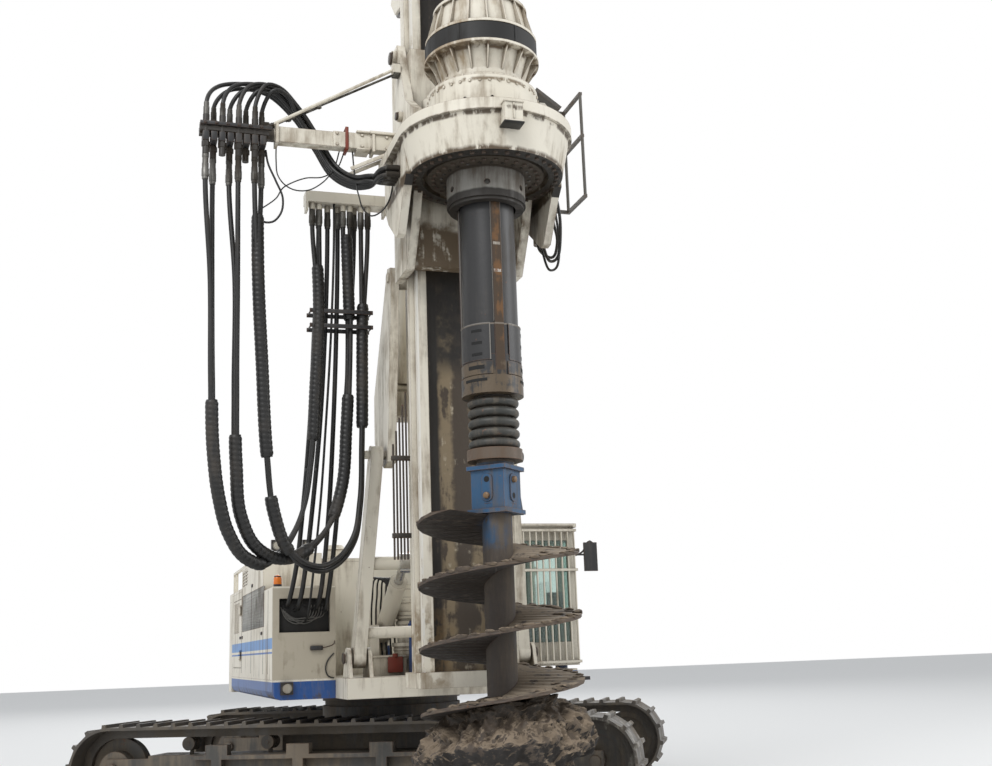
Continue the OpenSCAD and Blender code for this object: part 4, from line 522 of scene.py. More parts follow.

# Supply hoses that hang from the clamp on the mast down into the open front of the locker.
# Each is one hose, made in three lengths: by the mast, by the bracket and by the boom.
supply_routes = {
    "hose_supply_1": (hose_d, ((-1.29, -2.99, 6.33), (-1.29, -2.99, 6.2), (-1.31, -2.93, 5.0),
        (-1.35, -2.82, 4.0), (-1.4, -2.66, 3.2), (-1.44, -2.46, 2.6), (-1.46, -2.26, 2.3),
        (-1.47, -2.08, 2.18), (-1.47, -1.92, 2.18))),
    "hose_supply_2": (hose_d, ((-1.18, -2.99, 6.33), (-1.18, -2.99, 6.2), (-1.19, -2.93, 5.0),
        (-1.21, -2.83, 4.0), (-1.23, -2.68, 3.2), (-1.25, -2.47, 2.6), (-1.26, -2.27, 2.3),
        (-1.27, -2.08, 2.18), (-1.27, -1.92, 2.18))),
    "hose_supply_3": (hose_d, ((-1.385, -2.985, 6.33), (-1.385, -2.985, 6.2), (-1.42, -2.9, 5.0),
        (-1.45, -2.78, 4.0), (-1.49, -2.6, 3.2), (-1.53, -2.4, 2.6), (-1.56, -2.2, 2.32),
        (-1.57, -2.06, 2.22), (-1.57, -1.92, 2.22))),
    "hose_supply_4": (hose_d, ((-1.0, -2.985, 6.33), (-1.0, -2.985, 6.2), (-1.04, -2.9, 5.0),
        (-1.09, -2.79, 4.0), (-1.13, -2.63, 3.2), (-1.16, -2.43, 2.6), (-1.17, -2.23, 2.3),
        (-1.17, -2.06, 2.16), (-1.17, -1.92, 2.16))),
    "signal_line_1": (thin_d, ((-1.235, -3.09, 6.4), (-1.235, -3.09, 6.25), (-1.26, -3.02, 5.0),
        (-1.30, -2.9, 4.0), (-1.33, -2.72, 3.2), (-1.36, -2.5, 2.6), (-1.37, -2.25, 2.2),
        (-1.37, -2.06, 2.06), (-1.37, -1.92, 2.06)))}
for supply_name, (thick, route) in supply_routes.items():
    line = smooth_line(route, hose_step if thick == hose_d else 0.06)
    nearest = [min(range(len(line)), key=lambda i: abs(line[i].z - z)) for z in (4.9, 3.6)]
    cuts = [0] + nearest + [len(line) - 1]
    for part, (a, b, upper_z, lower_z) in enumerate((("mast", "bracket", 6.2, 4.95),
            ("bracket", "boom", 4.85, 3.65), ("boom", "upper", 3.55, 2.45))):
        lay_hose(f"{supply_name}_part_{part + 1}", line[cuts[part]:cuts[part + 1] + 1], thick, (a, b),
            (0, 0, upper_z), sides=10 if thick == hose_d else 8,
            stands_for=supply_name if part == 0 and supply_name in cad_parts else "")

# Drive hoses from the top of the manifold, over and behind its arm, to ports on the casing's side.
# Eight black hoses that rise a little, bow over and come down in one bundle of two rows.
drive_ports = []
for i, (x, y) in enumerate(manifold_stubs):
    across, low = 0.052 * (i // 2 - 1.5), i % 2
    port = (-0.80, -4.34 + 0.075 * (i // 2), 6.34 - 0.07 * low)
    drive_ports.append(port)
    line = smooth_line(((x, y, 6.98), (x, y, 7.12), (x + 0.13, -3.68 - across, 7.38 - 0.05 * low),
        (max(-2.02, x + 0.25), -3.62 - across, 7.43 - 0.055 * low - 0.35 * max(0, x + 2.27)),
        (-1.70 - 0.03 * low, -3.56 - across, 7.22 - 0.05 * low),
        (-1.47 - 0.04 * low, -3.52 - across, 6.90 - 0.035 * low),
        (-1.30 - 0.035 * low, -3.56 - across, 6.60 - 0.04 * low), (-1.15, -3.74 - across, 6.43 - 0.055 * low),
        (-1.02, -3.97 - across, 6.36 - 0.06 * low), (-0.92, port[1] + 0.02, port[2]), port), hose_step)
    lay_hose(f"drive_hose_{i + 1}", line, 0.044, ("sledge",))

# Crimped steel fittings under each stub of the manifold and of the clamp, in three steps.
# Turned, zinc plated once, now grey and greasy.
def turned(name, rings, sides=20):
    bpy.ops.object.select_all(action="DESELECT")
    bpy.ops.mesh.primitive_circle_add(vertices=sides, radius=rings[0][0], fill_type="NGON",
        location=(0, 0, rings[0][1]))
    piece = bpy.context.object
    piece.name = piece.data.name = name
    bpy.ops.object.transform_apply(location=True, rotation=True, scale=True)
    bpy.ops.object.mode_set(mode="EDIT")
    bpy.ops.mesh.select_all(action="SELECT")
    for (r_low, z_low), (r_high, z_high) in zip(rings, rings[1:]):
        bpy.ops.mesh.extrude_region_move(TRANSFORM_OT_translate={"value": (0, 0, z_high - z_low)})
        bpy.ops.transform.resize(value=(r_high / r_low, r_high / r_low, 1), center_override=(0, 0, z_high))
    bpy.ops.mesh.select_all(action="SELECT")
    bpy.ops.mesh.normals_make_consistent(inside=False)
    bpy.ops.object.mode_set(mode="OBJECT")
    return piece


def towards(place, direction):
    return Matrix.Translation(place) @ Vector(direction).to_track_quat("Z", "Y").to_matrix().to_4x4()


def pick(*pieces):
    bpy.ops.object.select_all(action="DESELECT")
    for piece in pieces:
        piece.select_set(True)
    bpy.context.view_layer.objects.active = pieces[0]


def copies(first, name, places):
    twins = []
    for place in places:
        twin = bpy.data.objects.new(name, first.data.copy())
        scene.collection.objects.link(twin)
        twin.data.transform(place)
        twins.append(twin)
    bpy.data.objects.remove(first)
    return twins


def one_piece(name, parts, material, body, corner=35):
    pick(*parts)
    if len(parts) > 1:
        bpy.ops.object.join()
    piece = bpy.context.object
    piece.name = piece.data.name = name
    piece.data.materials.clear()
    piece.data.materials.append(material)
    bpy.ops.object.shade_smooth_by_angle(angle=math.radians(corner))
    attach(piece, body)
    return piece


def row_of(name, rings, places, sides=20):
    return copies(turned(name, rings, sides), name, places)


def set_at(piece, spot, direction):
    piece.data.transform(towards(spot, direction))
    return piece


fitting_rings = ((0.026, 0.0), (0.031, 0.004), (0.031, 0.03), (0.036, 0.034), (0.036, 0.11), (0.033, 0.116),
    (0.033, 0.17), (0.030, 0.175), (0.030, 0.23), (0.034, 0.235), (0.034, 0.262), (0.028, 0.268))
one_piece("manifold_fittings", row_of("fitting", fitting_rings,
    [Matrix.Translation((*manifold_stubs[i], 6.292)) for i in (0, 1, 3, 4, 6, 7)]), fitting_steel, "sledge")
clamp_stubs = [(x, -3.06) for x in (-1.465, -1.39, -1.135, -1.06, -0.94, -0.865)]
clamp_stubs += [(-1.385, -2.985), (-1.29, -2.99), (-1.18, -2.99), (-1.0, -2.985)]
one_piece("clamp_fittings", row_of("fitting", fitting_rings[:8], [Matrix.Translation((x, y, 6.15))
    for x, y in clamp_stubs]), fitting_steel, "mast")
short_rings = ((0.024, 0.0), (0.030, 0.004), (0.030, 0.09), (0.026, 0.095), (0.026, 0.14))
one_piece("drive_fittings", row_of("fitting", short_rings, [Matrix.Translation((*stub, 6.975))
    for stub in manifold_stubs] + [towards(port, (-1, 0, 0)) for port in drive_ports]), fitting_steel,
    "sledge")


# Blocks, bars and plates of the manifold: a steel valve block at each stub, a cross bar with
# its bolts, and the dark clamp bars that hold the hanging bundles together lower down.
def plate(name, low, high, edge=0.005):
    low, high = Vector(low), Vector(high)
    bpy.ops.object.select_all(action="DESELECT")
    bpy.ops.mesh.primitive_cube_add(size=1, location=(low + high) / 2)
    piece = bpy.context.object
    piece.name = piece.data.name = name
    piece.scale = high - low
    bpy.ops.object.transform_apply(location=True, rotation=True, scale=True)
    bpy.ops.object.mode_set(mode="EDIT")
    bpy.ops.mesh.select_all(action="SELECT")
    bpy.ops.mesh.bevel(offset=edge, segments=2, affect="EDGES")
    bpy.ops.object.mode_set(mode="OBJECT")
    return piece


def rod(name, start, end, radius, sides=12):
    start, end = Vector(start), Vector(end)
    reach = (end - start).length
    rim = min(radius * 0.15, 0.004)
    piece = turned(name, ((radius - rim, 0), (radius, rim), (radius, reach - rim), (radius - rim, reach)),
        sides)
    piece.data.transform(towards(start, end - start))
    return piece


hex_bolt = ((0.0165, 0.0), (0.0165, 0.011), (0.0135, 0.014))
blocks = [plate("block", (x - 0.032, -3.80, 6.70), (x + 0.032, -3.60, 6.80), 0.006)
    for x, y in manifold_stubs]
blocks += [plate("bar", (-2.69, y, 6.86), (-1.98, y + 0.04, 6.90), 0.006) for y in (-3.815, -3.625)]
blocks += row_of("bolt", hex_bolt, [towards((-2.64 + 0.11 * i, -3.816, 6.88), (0, -1, 0))
    for i in range(6)], 6)
one_piece("manifold_blocks", blocks, black, "sledge")
bars = []
for z in (5.04, 5.20):
    bars += [plate("bar", (-1.50, -3.125, z - 0.022), (-0.83, -3.105, z + 0.022), 0.004),
        plate("bar", (-1.50, -2.915, z - 0.022), (-0.83, -2.895, z + 0.022), 0.004)]
    bars += [rod("bolt", (x, -3.14, z), (x, -2.88, z), 0.009) for x in (-1.485, -0.845)]
one_piece("bundle_clamps", bars, black, "mast")

# Thin signal cables that sag between the manifold, its arm and the casing.
# Black sheathed cable, tied at its ends.
signal_routes = (
    (0.022, ((-2.03, -3.66, 6.70), (-2.01, -3.68, 6.56), (-1.93, -3.70, 6.36), (-1.86, -3.70, 6.18),
        (-1.88, -3.69, 6.02), (-1.96, -3.68, 5.93), (-2.05, -3.67, 5.93), (-2.09, -3.67, 6.02))),
    (0.014, ((-1.92, -3.62, 6.78), (-1.92, -3.62, 6.62), (-1.90, -3.64, 6.44), (-1.83, -3.66, 6.34),
        (-1.75, -3.66, 6.30), (-1.62, -3.66, 6.30), (-1.46, -3.64, 6.40), (-1.32, -3.62, 6.60),
        (-1.27, -3.62, 6.78))),
    (0.014, ((-2.09, -3.67, 6.05), (-2.02, -3.68, 6.10), (-1.92, -3.68, 6.19), (-1.86, -3.67, 6.30),
        (-1.75, -3.66, 6.38), (-1.62, -3.65, 6.44), (-1.45, -3.64, 6.47), (-1.30, -3.63, 6.58),
        (-1.22, -3.62, 6.77))),
    (0.016, ((-1.14, -3.66, 6.77), (-1.14, -3.80, 6.42), (-1.12, -3.88, 6.20), (-1.07, -3.90, 6.04),
        (-1.0, -3.92, 5.98), (-0.91, -3.95, 6.02), (-0.83, -3.99, 6.14), (-0.80, -4.02, 6.28))))
cable_step = 0.03
for i, (thick, route) in enumerate(signal_routes):
    lay_hose(f"signal_cable_{i + 1}", smooth_line(route, cable_step), thick, ("sledge",), sides=8)

# Three short hoses that hang in bows beside the casing on the cab's side.
# Black rubber, oily, each from a port low on the casing to one behind it.
for i, (thick, low_z) in enumerate(((0.032, 5.58), (0.026, 5.50), (0.032, 5.66))):
    start_y, end_y = -4.42 + 0.10 * i, -3.86 + 0.06 * i
    line = smooth_line(((0.812, start_y, 6.10), (0.835, start_y + 0.01, 5.98),
        (0.86 + 0.02 * i, start_y + 0.07, 5.78), (0.87 + 0.02 * i, start_y + 0.19, low_z),
        (0.86 + 0.02 * i, end_y - 0.13, low_z + 0.03), (0.84, end_y - 0.03, 5.80), (0.825, end_y, 5.92),
        (0.812, end_y, 6.02)), cable_step)
    lay_hose(f"motor_bow_{i + 1}", line, thick, ("sledge",))

# Stay of the arm: the second rod beside the first, with a turnbuckle and an eye at the foot.
# Rusty drawn bar in a zinc plated body.
stay_low, stay_high = Vector((-2.02, -3.62, 6.96)), Vector((-0.67, -3.62, 7.72))
stay_way = (stay_high - stay_low).normalized()
turnbuckle = [rod("rod", stay_low, stay_high, 0.013),
    rod("rod", stay_low + stay_way * 0.22, stay_low + stay_way * 0.62, 0.024, 10)]
for far in (0.05, 0.24, 0.60):
    turnbuckle.append(rod("nut", stay_low + stay_way * far, stay_low + stay_way * (far + 0.035), 0.034, 6))
turnbuckle += [plate("lug", (-2.08, -3.71, 6.93), (-2.00, -3.59, 6.99)), plate("lug", (-0.70, -3.73, 7.68),
    (-0.626, -3.60, 7.80))]
one_piece("arm_stay", turnbuckle, fitting_steel, "sledge")

# Arm root: stepped collar plates round the square arm, diagonal braces under it, a red clamp
# and bolts in the end plates. Welded plate, painted white with the arm.
root = [plate("collar", (-1.36, -3.775, 6.765), (-0.74, -3.745, 6.935)),
    plate("collar", (-1.12, -3.80, 6.745), (-0.98, -3.60, 6.765)),
    plate("collar", (-1.12, -3.80, 6.935), (-0.98, -3.60, 6.955)),
    plate("collar", (-0.98, -3.80, 6.935), (-0.64, -3.61, 6.965))]
for y in (-3.79, -3.63):
    brace = plate("brace", (-0.20, y, -0.02), (0.36, y + 0.02, 0.02))
    brace.data.transform(Matrix.Translation((-1.0, 0, 6.62)) @ Matrix.Rotation(math.radians(-27), 4, "Y"))
    root.append(brace)
root += row_of("bolt", hex_bolt, [towards((-0.958, y, z), (-1, 0, 0)) for y in (-3.765, -3.635)
    for z in (6.79, 6.91)] + [towards((x, -3.776, z), (0, -1, 0)) for x in (-1.32, -1.06, -0.80)
    for z in (6.79, 6.91)], 6)
one_piece("arm_root", root, arm_white, "sledge")
red_paint = weathered("red_paint", (0.22, 0.035, 0.02), (0.12, 0.08, 0.05), 0.5, rust_share=0.4)
strap = [plate("strap", (-1.235, -3.785, 6.75), (-1.20, -3.765, 6.99)),
    plate("strap", (-1.235, -3.775, 6.965), (-1.20, -3.60, 6.985)),
    plate("strap", (-1.235, -3.785, 6.745), (-1.20, -3.60, 6.765))]
one_piece("arm_strap", strap, red_paint, "sledge")

# Bolts and studs of the rotary drive: two rings under the drum, rings on the neck and the
# cone's foot. Hexagon heads, greasy and dark below, painted over above.
kelly_at = Vector((0, -4.6, 0))


def ring_places(radius, z, count, direction, start=0.0):
    places = []
    for i in range(count):
        turn = start + 2 * math.pi * i / count
        out = Vector((math.cos(turn), math.sin(turn), 0))
        spot = kelly_at + out * radius + Vector((0, 0, z))
        places.append(towards(spot, out if direction == "out" else (0, 0, direction)))
    return places


def underside(node, radius, z):
    found = []
    for turn in (4.1, 4.4, 5.0):
        start = kelly_at + Vector((math.cos(turn) * radius, math.sin(turn) * radius, z))
        hit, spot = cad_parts[node].ray_cast(start, (0, 0, 1))[:2]
        if hit:
            found.append(spot.z)
    return min(found)


big_bolt = ((0.021, 0.0), (0.021, 0.016), (0.017, 0.020))
dark_steel = weathered("dark_steel", (0.05, 0.045, 0.04), (0.09, 0.07, 0.05), 0.5, rust_share=0.35, metal=0.3)
drum_foot = underside("rotary_drive", 0.70, 5.9)
one_piece("drum_bolts", row_of("bolt", big_bolt, ring_places(0.70, drum_foot + 0.001, 40, -1), 6),
    dark_steel, "sledge")
collar_foot = underside("drive_collar", 0.50, 5.9)
one_piece("collar_bolts", row_of("bolt", big_bolt, ring_places(0.515, collar_foot + 0.001, 30, -1), 6),
    dark_steel, "sleeve")
one_piece("collar_studs", row_of("stud", hex_bolt, ring_places(0.435, collar_foot + 0.001, 24, -1, 0.1), 6),
    fitting_steel, "sleeve")
one_piece("neck_bolts", row_of("bolt", hex_bolt, ring_places(0.544, 6.985, 36, "out")
    + ring_places(0.499, 7.07, 30, "out", 0.05), 6), drive_white, "sledge")
one_piece("flange_bolts", row_of("bolt", big_bolt, ring_places(0.80, 6.649, 32, 1)
    + ring_places(0.60, 6.649, 24, 1, 0.1), 6), drive_white, "sledge")

# Rubber seal between the two cones: a broad black band of six segments.
# They are bolted end to end round the cones' joint.
seal = turned("seal", ((0.500, 7.4125), (0.552, 7.4125), (0.560, 7.42), (0.560, 7.59), (0.552, 7.598),
    (0.500, 7.598)), 96)
seal.data.transform(Matrix.Translation(kelly_at))
seal_joints = copies(plate("joint", (-0.012, 0.552, 7.414), (0.012, 0.566, 7.596), 0.003), "joint",
    [Matrix.Translation(kelly_at) @ Matrix.Rotation(math.radians(20 + 60 * i), 4, "Z") for i in range(6)])
seal_black = weathered("seal_black", (0.005, 0.005, 0.005), (0.020, 0.017, 0.014), 0.3, rust_share=0.0,
    gloss=0.6, edge=0.0)
one_piece("cone_seal", [seal] + seal_joints, seal_black, "sledge")

# Lock on the front of the casing: a small welded box with two sockets, painted with it.
# Its foot is black with grease.
lock = [plate("cover", (-0.10, -5.55, 6.575), (0.10, -5.36, 6.59))]
lock += [rod("socket", (x, -5.452, 6.41), (x, -5.452, 6.55), 0.036, 16) for x in (-0.045, 0.045)]
lock += [plate("cover", (-0.095, -5.545, 6.385), (0.095, -5.36, 6.405)),
    plate("rib", (-0.008, -5.548, 6.41), (0.008, -5.53, 6.57))]
one_piece("casing_lock", lock, drive_white, "sledge")
one_piece("lock_grease", [plate("grease", (-0.10, -5.55, 6.37), (0.10, -5.36, 6.387), 0.007)], rubber,
    "sledge")

# Pins of the sledge and the arm: a turned steel head on each side, flush in its bore.
# A keeper plate across it stops it from turning.
def side_plate(name, s, from_middle, y_range, z_range, edge):
    near, far = sorted(s * x for x in from_middle)
    return plate(name, (near, y_range[0], z_range[0]), (far, y_range[1], z_range[1]), edge)


pins = []
for s in (-1, 1):
    for y, z, d in ((-3.49, 7.97, 0.17), (-3.74, 7.18, 0.11), (-3.70, 6.01, 0.11)):
        cap_rings = ((d * 0.36, 0), (d * 0.40, 0.004), (d * 0.40, 0.020), (d * 0.36, 0.024))
        pins += [set_at(turned("pin", cap_rings, 24), (s * 0.671, y, z), (s, 0, 0)),
            side_plate("keeper", s, (0.672, 0.684),
            (y - d * 0.5, y + d * 0.5), (z + d * 0.10, z + d * 0.24), 0.003)]
one_piece("sledge_pins", pins, dark_steel, "sledge")

# Kelly wraps: wear plates of thin steel, welded round the tube between the keys near its foot.
# Each has slots, drawn as thin black strips on it: painted shade for their dark insides.
def on_tube(name, radius, middle, width, z_low, z_high, thick):
    bpy.ops.object.select_all(action="DESELECT")
    bpy.ops.mesh.primitive_grid_add(x_subdivisions=14, y_subdivisions=1, size=1)
    strip = bpy.context.object
    strip.name = strip.data.name = name
    for corner in strip.data.vertices:
        turn = math.radians(middle) + corner.co.x * width / radius
        up = z_low + (corner.co.y + 0.5) * (z_high - z_low)
        corner.co = (radius * math.cos(turn), kelly_at.y + radius * math.sin(turn), up)
    wall = strip.modifiers.new("wall", "SOLIDIFY")
    wall.thickness = thick
    wall.offset = 1
    bpy.ops.object.modifier_apply(modifier="wall")
    return strip


wraps, slots, edges = [], [], []
for middle in (210, 330, 90):
    wraps.append(on_tube("wrap", 0.2785, middle, 0.40, 4.30, 4.650, 0.006))
    wraps.append(on_tube("wrap", 0.2785, middle, 0.44, 4.165, 4.285, 0.010))
    edges.append(on_tube("weld", 0.2790, middle, 0.405, 4.646, 4.655, 0.009))
    edges.append(on_tube("weld", 0.2790, middle + 41, 0.010, 4.30, 4.650, 0.009))
    slots += [on_tube("slot", 0.2840, middle + 14, 0.11, z, z + 0.026, 0.003) for z in (4.345, 4.455, 4.57)]
    slots += [on_tube("slot", 0.2880, middle + 12, 0.17, 4.215, 4.250, 0.003),
        on_tube("slot", 0.2930, middle + 10, 0.24, 4.098, 4.124, 0.003)]
one_piece("kelly_wraps", wraps, kelly_steel, "kelly")
weld_steel = weathered("weld_steel", (0.20, 0.185, 0.165), (0.10, 0.08, 0.06), 0.5, rust_share=0.3, edge=0.0)
one_piece("kelly_welds", edges, weld_steel, "kelly")
# Thin black strips and discs for slots and open holes: painted shade for their insides.
slot_shade = weathered("slot_shade", (0.006, 0.006, 0.006), (0.03, 0.024, 0.018), 0.3, rust_share=0.0,
    gloss=0.8, edge=0.0)
one_piece("kelly_slots", slots, slot_shade, "kelly")

# Seams of the kelly: a light worn weld along both sides of each key.
# The front key has short painted depth marks.
seams = []
for turn in (30, 150, 270):
    for s in (-1, 1):
        seam = plate("seam", (0.264, s * 0.0475 - 0.004, 4.67), (0.2715, s * 0.0475 + 0.004, 14.6), 0.002)
        seam.data.transform(Matrix.Translation(kelly_at) @ Matrix.Rotation(math.radians(turn), 4, "Z"))
        seams.append(seam)
one_piece("kelly_seams", seams, weld_steel, "kelly")
mark_paint = weathered("mark_paint", (0.70, 0.69, 0.64), (0.15, 0.11, 0.07), 0.8, rust_share=0.7, edge=0.0)
marks = [plate("mark", (-0.036, -4.8825, z), (0.036, -4.879, z + 0.028), 0.001)
    for z in (5.15, 5.42, 6.3, 7.7, 9.1)]
one_piece("kelly_marks", marks, mark_paint, "kelly")

# Drive box at the foot of the kelly: a raised oval plate on each face round its two holes.
# A rusty cross pin's head sits in one of them, and the other is open.
ovals, pin_heads, holes = [], [], []
for i, turn in enumerate((225, 315, 45, 135)):
    oval = turned("oval", ((0.056, 0), (0.056, 0.010), (0.052, 0.014)), 24)
    for corner in oval.data.vertices:
        corner.co.y += 0.075 if corner.co.y > 0 else -0.075
    face = (Matrix.Translation(kelly_at + Vector((0, 0, 3.125))) @ Matrix.Rotation(math.radians(turn), 4, "Z")
        @ Matrix.Translation((0.169, 0, 0)) @ Matrix.Rotation(math.pi / 2, 4, "Y")
        @ Matrix.Rotation(math.pi / 2, 4, "Z"))
    oval.data.transform(face)
    ovals.append(oval)
    head = turned("pin_head", ((0.030, 0), (0.030, 0.026), (0.022, 0.032), (0.010, 0.034)), 12)
    head.data.transform(face @ Matrix.Translation((0, (-0.075, 0.075)[i % 2], 0.013)))
    pin_heads.append(head)
    # The open hole is a thin black disc: painted shade for its inside.
    hole = turned("hole", ((0.028, 0), (0.028, 0.002)), 20)
    hole.data.transform(face @ Matrix.Translation((0, (0.075, -0.075)[i % 2], 0.0135)))
    holes.append(hole)
one_piece("box_holes", holes, slot_shade, "kelly_inner")
one_piece("box_plates", ovals, foot_blue, "kelly_inner")
one_piece("box_pins", pin_heads, weathered("rusty_pin", (0.20, 0.12, 0.06), (0.10, 0.07, 0.05), 0.5,
    rust_share=0.6), "kelly_inner")

# Driver's seat: a black cloth cushion and backrest with piping on a suspension bellows, with arms.
# Cloth is blown up inside the cab's space, so that it bulges between its seams.
seat_cloth = weathered("seat_cloth", (0.030, 0.031, 0.034), (0.075, 0.066, 0.055), 0.45, rust_share=0.0,
    gloss=0.75, edge=0.0, streak=0.0, grain=1.6)
seat_low, seat_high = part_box("cab_seat")
seat_mid = (seat_low[0] + seat_high[0]) / 2
cloth_frames = 12


def padded_block(name, low, high, swell):
    pad = plate(name, low, high, 0.035)
    pick(pad)
    pad.data.remesh_voxel_size = 0.009
    bpy.ops.object.voxel_remesh()
    start = [corner.co.copy() for corner in pad.data.vertices]
    soft = pad.modifiers.new("soft", "CLOTH")
    soft.settings.use_pressure = True
    soft.settings.uniform_pressure_force = 4.0
    soft.settings.effector_weights.gravity = 0.0
    for frame_number in range(1, cloth_frames + 1):
        scene.frame_set(frame_number)
    bpy.ops.object.modifier_apply(modifier="soft")
    scene.frame_set(1)
    for corner, before in zip(pad.data.vertices, start):
        moved = corner.co - before
        if moved.length > swell:
            corner.co = before + moved.normalized() * swell
    smooth = pad.modifiers.new("smooth", "SUBSURF")
    smooth.levels = smooth.render_levels = 1
    bpy.ops.object.modifier_apply(modifier="smooth")
    pad.data.polygons.foreach_set("use_smooth", [True] * len(pad.data.polygons))
    pad.data.materials.append(seat_cloth)
    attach(pad, "upper")
    return pad


for pad_name, half, back_low, back_high, swell, fill in (
        ("seat_cushion", 0.225, (-1.605, 1.895), (-1.145, 1.985), 0.014, 0.7),
        ("seat_back", 0.225, (-1.115, 2.015), (-1.02, 2.50), 0.014, 0.7),
        ("seat_headrest", 0.13, (-1.10, 2.525), (-1.025, 2.62), 0.010, 0.8)):
    padded_block(pad_name, (seat_mid - half, *back_low), (seat_mid + half, *back_high), swell)
frame_of_seat = [plate("pan", (seat_mid - 0.23, -1.60, 1.870), (seat_mid + 0.23, -1.03, 1.892), 0.006),
    plate("shell", (seat_mid - 0.20, -1.018, 2.03), (seat_mid + 0.20, -1.004, 2.48), 0.005)]
for level in range(5):
    half = 0.165 - 0.012 * (level % 2)
    frame_of_seat.append(plate("bellows", (seat_mid - half, -1.495, 1.505 + 0.073 * level),
        (seat_mid + half, -1.155, 1.577 + 0.073 * level), 0.016))
for s in (-1, 1):
    frame_of_seat.append(rod("stay", (seat_mid + s * 0.07, -1.06, 2.47), (seat_mid + s * 0.07, -1.06, 2.56),
        0.008))
seat_frame = one_piece("seat_frame", frame_of_seat, black, "upper")
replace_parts(seat_frame, "cab_seat")

# Controls in the cab: a console with a lever on each side of the seat, a screen on its stalk,
# two pedals. Moulded dark plastic.
controls = []
for s in (-1, 1):
    side = seat_mid + s * 0.31
    controls += [plate("console", (side - 0.045, -1.70, 1.51), (side + 0.045, -1.15, 2.03), 0.02),
        rod("lever", (side, -1.62, 2.03), (side, -1.65, 2.17), 0.011),
        rod("knob", (side, -1.648, 2.16), (side, -1.655, 2.23), 0.022, 14)]
controls += [rod("stalk", (1.52, -1.98, 1.51), (1.50, -1.97, 2.12), 0.014),
    plate("screen", (1.40, -2.00, 2.12), (1.60, -1.955, 2.30), 0.010)]
for x in (1.12, 1.30):
    controls.append(plate("pedal", (x, -2.05, 1.53), (x + 0.10, -1.86, 1.56), 0.008))
one_piece("cab_controls", controls, black, "upper")

# Clay on the auger: wet lumps heaped on the edge of the hidden turn, with hollows above and under it.
# It is the CAD body, cut finer and pushed in and out.
def merged_copy(name, node):
    twin = bpy.data.objects.new(name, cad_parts[node].data.copy())
    scene.collection.objects.link(twin)
    pick(twin)
    bpy.ops.object.mode_set(mode="EDIT")
    bpy.ops.mesh.select_all(action="SELECT")
    bpy.ops.mesh.remove_doubles(threshold=0.0004)
    bpy.ops.mesh.select_all(action="DESELECT")
    bpy.ops.object.mode_set(mode="OBJECT")
    return twin


def clamped(value):
    return min(1.0, max(0.0, value))


def from_kelly(place):
    return Vector((place.x, place.y - kelly_at.y, 0))


def turn_height(degrees, turns):
    return flight_top - flight_pitch * ((flight_start - degrees) / 360 + turns)


flight_top, flight_pitch, flight_start, flight_rim, core_reach = 2.88, 0.565, 200, 0.745, 0.20
clay_lump = merged_copy("clay_lumps", "clay")
clay_lump.data.remesh_voxel_size = 0.022
bpy.ops.object.voxel_remesh()
for corner in clay_lump.data.vertices:
    out = from_kelly(corner.co)
    reach = out.length
    if reach > core_reach:
        wave = (noise.noise(corner.co * 2.6) * 0.10 + noise.noise(corner.co * 6.5) * 0.075
            + noise.noise(corner.co * 15.0) * 0.045 + abs(noise.noise(corner.co * 32.0)) * 0.028)
        over_edge = corner.co.z - turn_height(math.degrees(math.atan2(out.y, out.x)) % 360, 4)
        above = clamped((over_edge - 0.16 - 0.5 * wave) / 0.16)
        below = clamped((-0.06 - over_edge + 0.8 * wave) / 0.07) * clamped((over_edge + 0.60) / 0.12)
        fade = clamped((reach - core_reach) / 0.12)
        hollow = (0.16 * above + 0.20 * below) * clamped((reach - 0.45) / 0.25)
        corner.co += out.normalized() * ((wave * 0.8 - 0.02) * fade - hollow)
        corner.co.z += wave * 0.5 * fade
clay_lump.data.materials.clear()
clay_lump.data.materials.append(clay_wet)
clay_lump.data.polygons.foreach_set("use_smooth", [True] * len(clay_lump.data.polygons))
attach(clay_lump, "kelly_inner")
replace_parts(clay_lump, "clay")

# Clods and smears on the flights: low heaps on top of each turn, ragged drips at its edge.
# They follow the flight's slope and turn with it.
clods = []
for i in range(150):
    degrees = (i * 137.5) % 360
    turns = i % 4
    level = turn_height(degrees, turns)
    chance = noise.noise(Vector((i * 1.7, 0, 3)))
    if level > flight_top - 0.02 or level < 1.0 or chance < -0.25:
        continue
    across = 0.722 - 0.20 * abs(noise.noise(Vector((i * 0.9, 5, 1)))) * (i % 3)
    spot = kelly_at + Vector((math.cos(math.radians(degrees)) * across,
        math.sin(math.radians(degrees)) * across, level + 0.002))
    bpy.ops.mesh.primitive_ico_sphere_add(subdivisions=2, radius=0.03 + 0.05 * abs(chance), location=spot)
    clod = bpy.context.object
    clod.scale = (1.5, 1.5, 0.42)
    clod.rotation_euler = (0, 0, math.radians(degrees))
    bpy.ops.object.transform_apply(location=True, rotation=True, scale=True)
    for corner in clod.data.vertices:
        shift = noise.noise(corner.co * 21.0) * 0.02 + noise.noise(corner.co * 60.0) * 0.008
        corner.co += (corner.co - spot).normalized() * shift
        away = from_kelly(corner.co)
        if away.length > flight_rim:
            corner.co -= away.normalized() * (away.length - flight_rim)
    clods.append(clod)
one_piece("flight_clods", clods, clay_wet, "kelly_inner", 60)

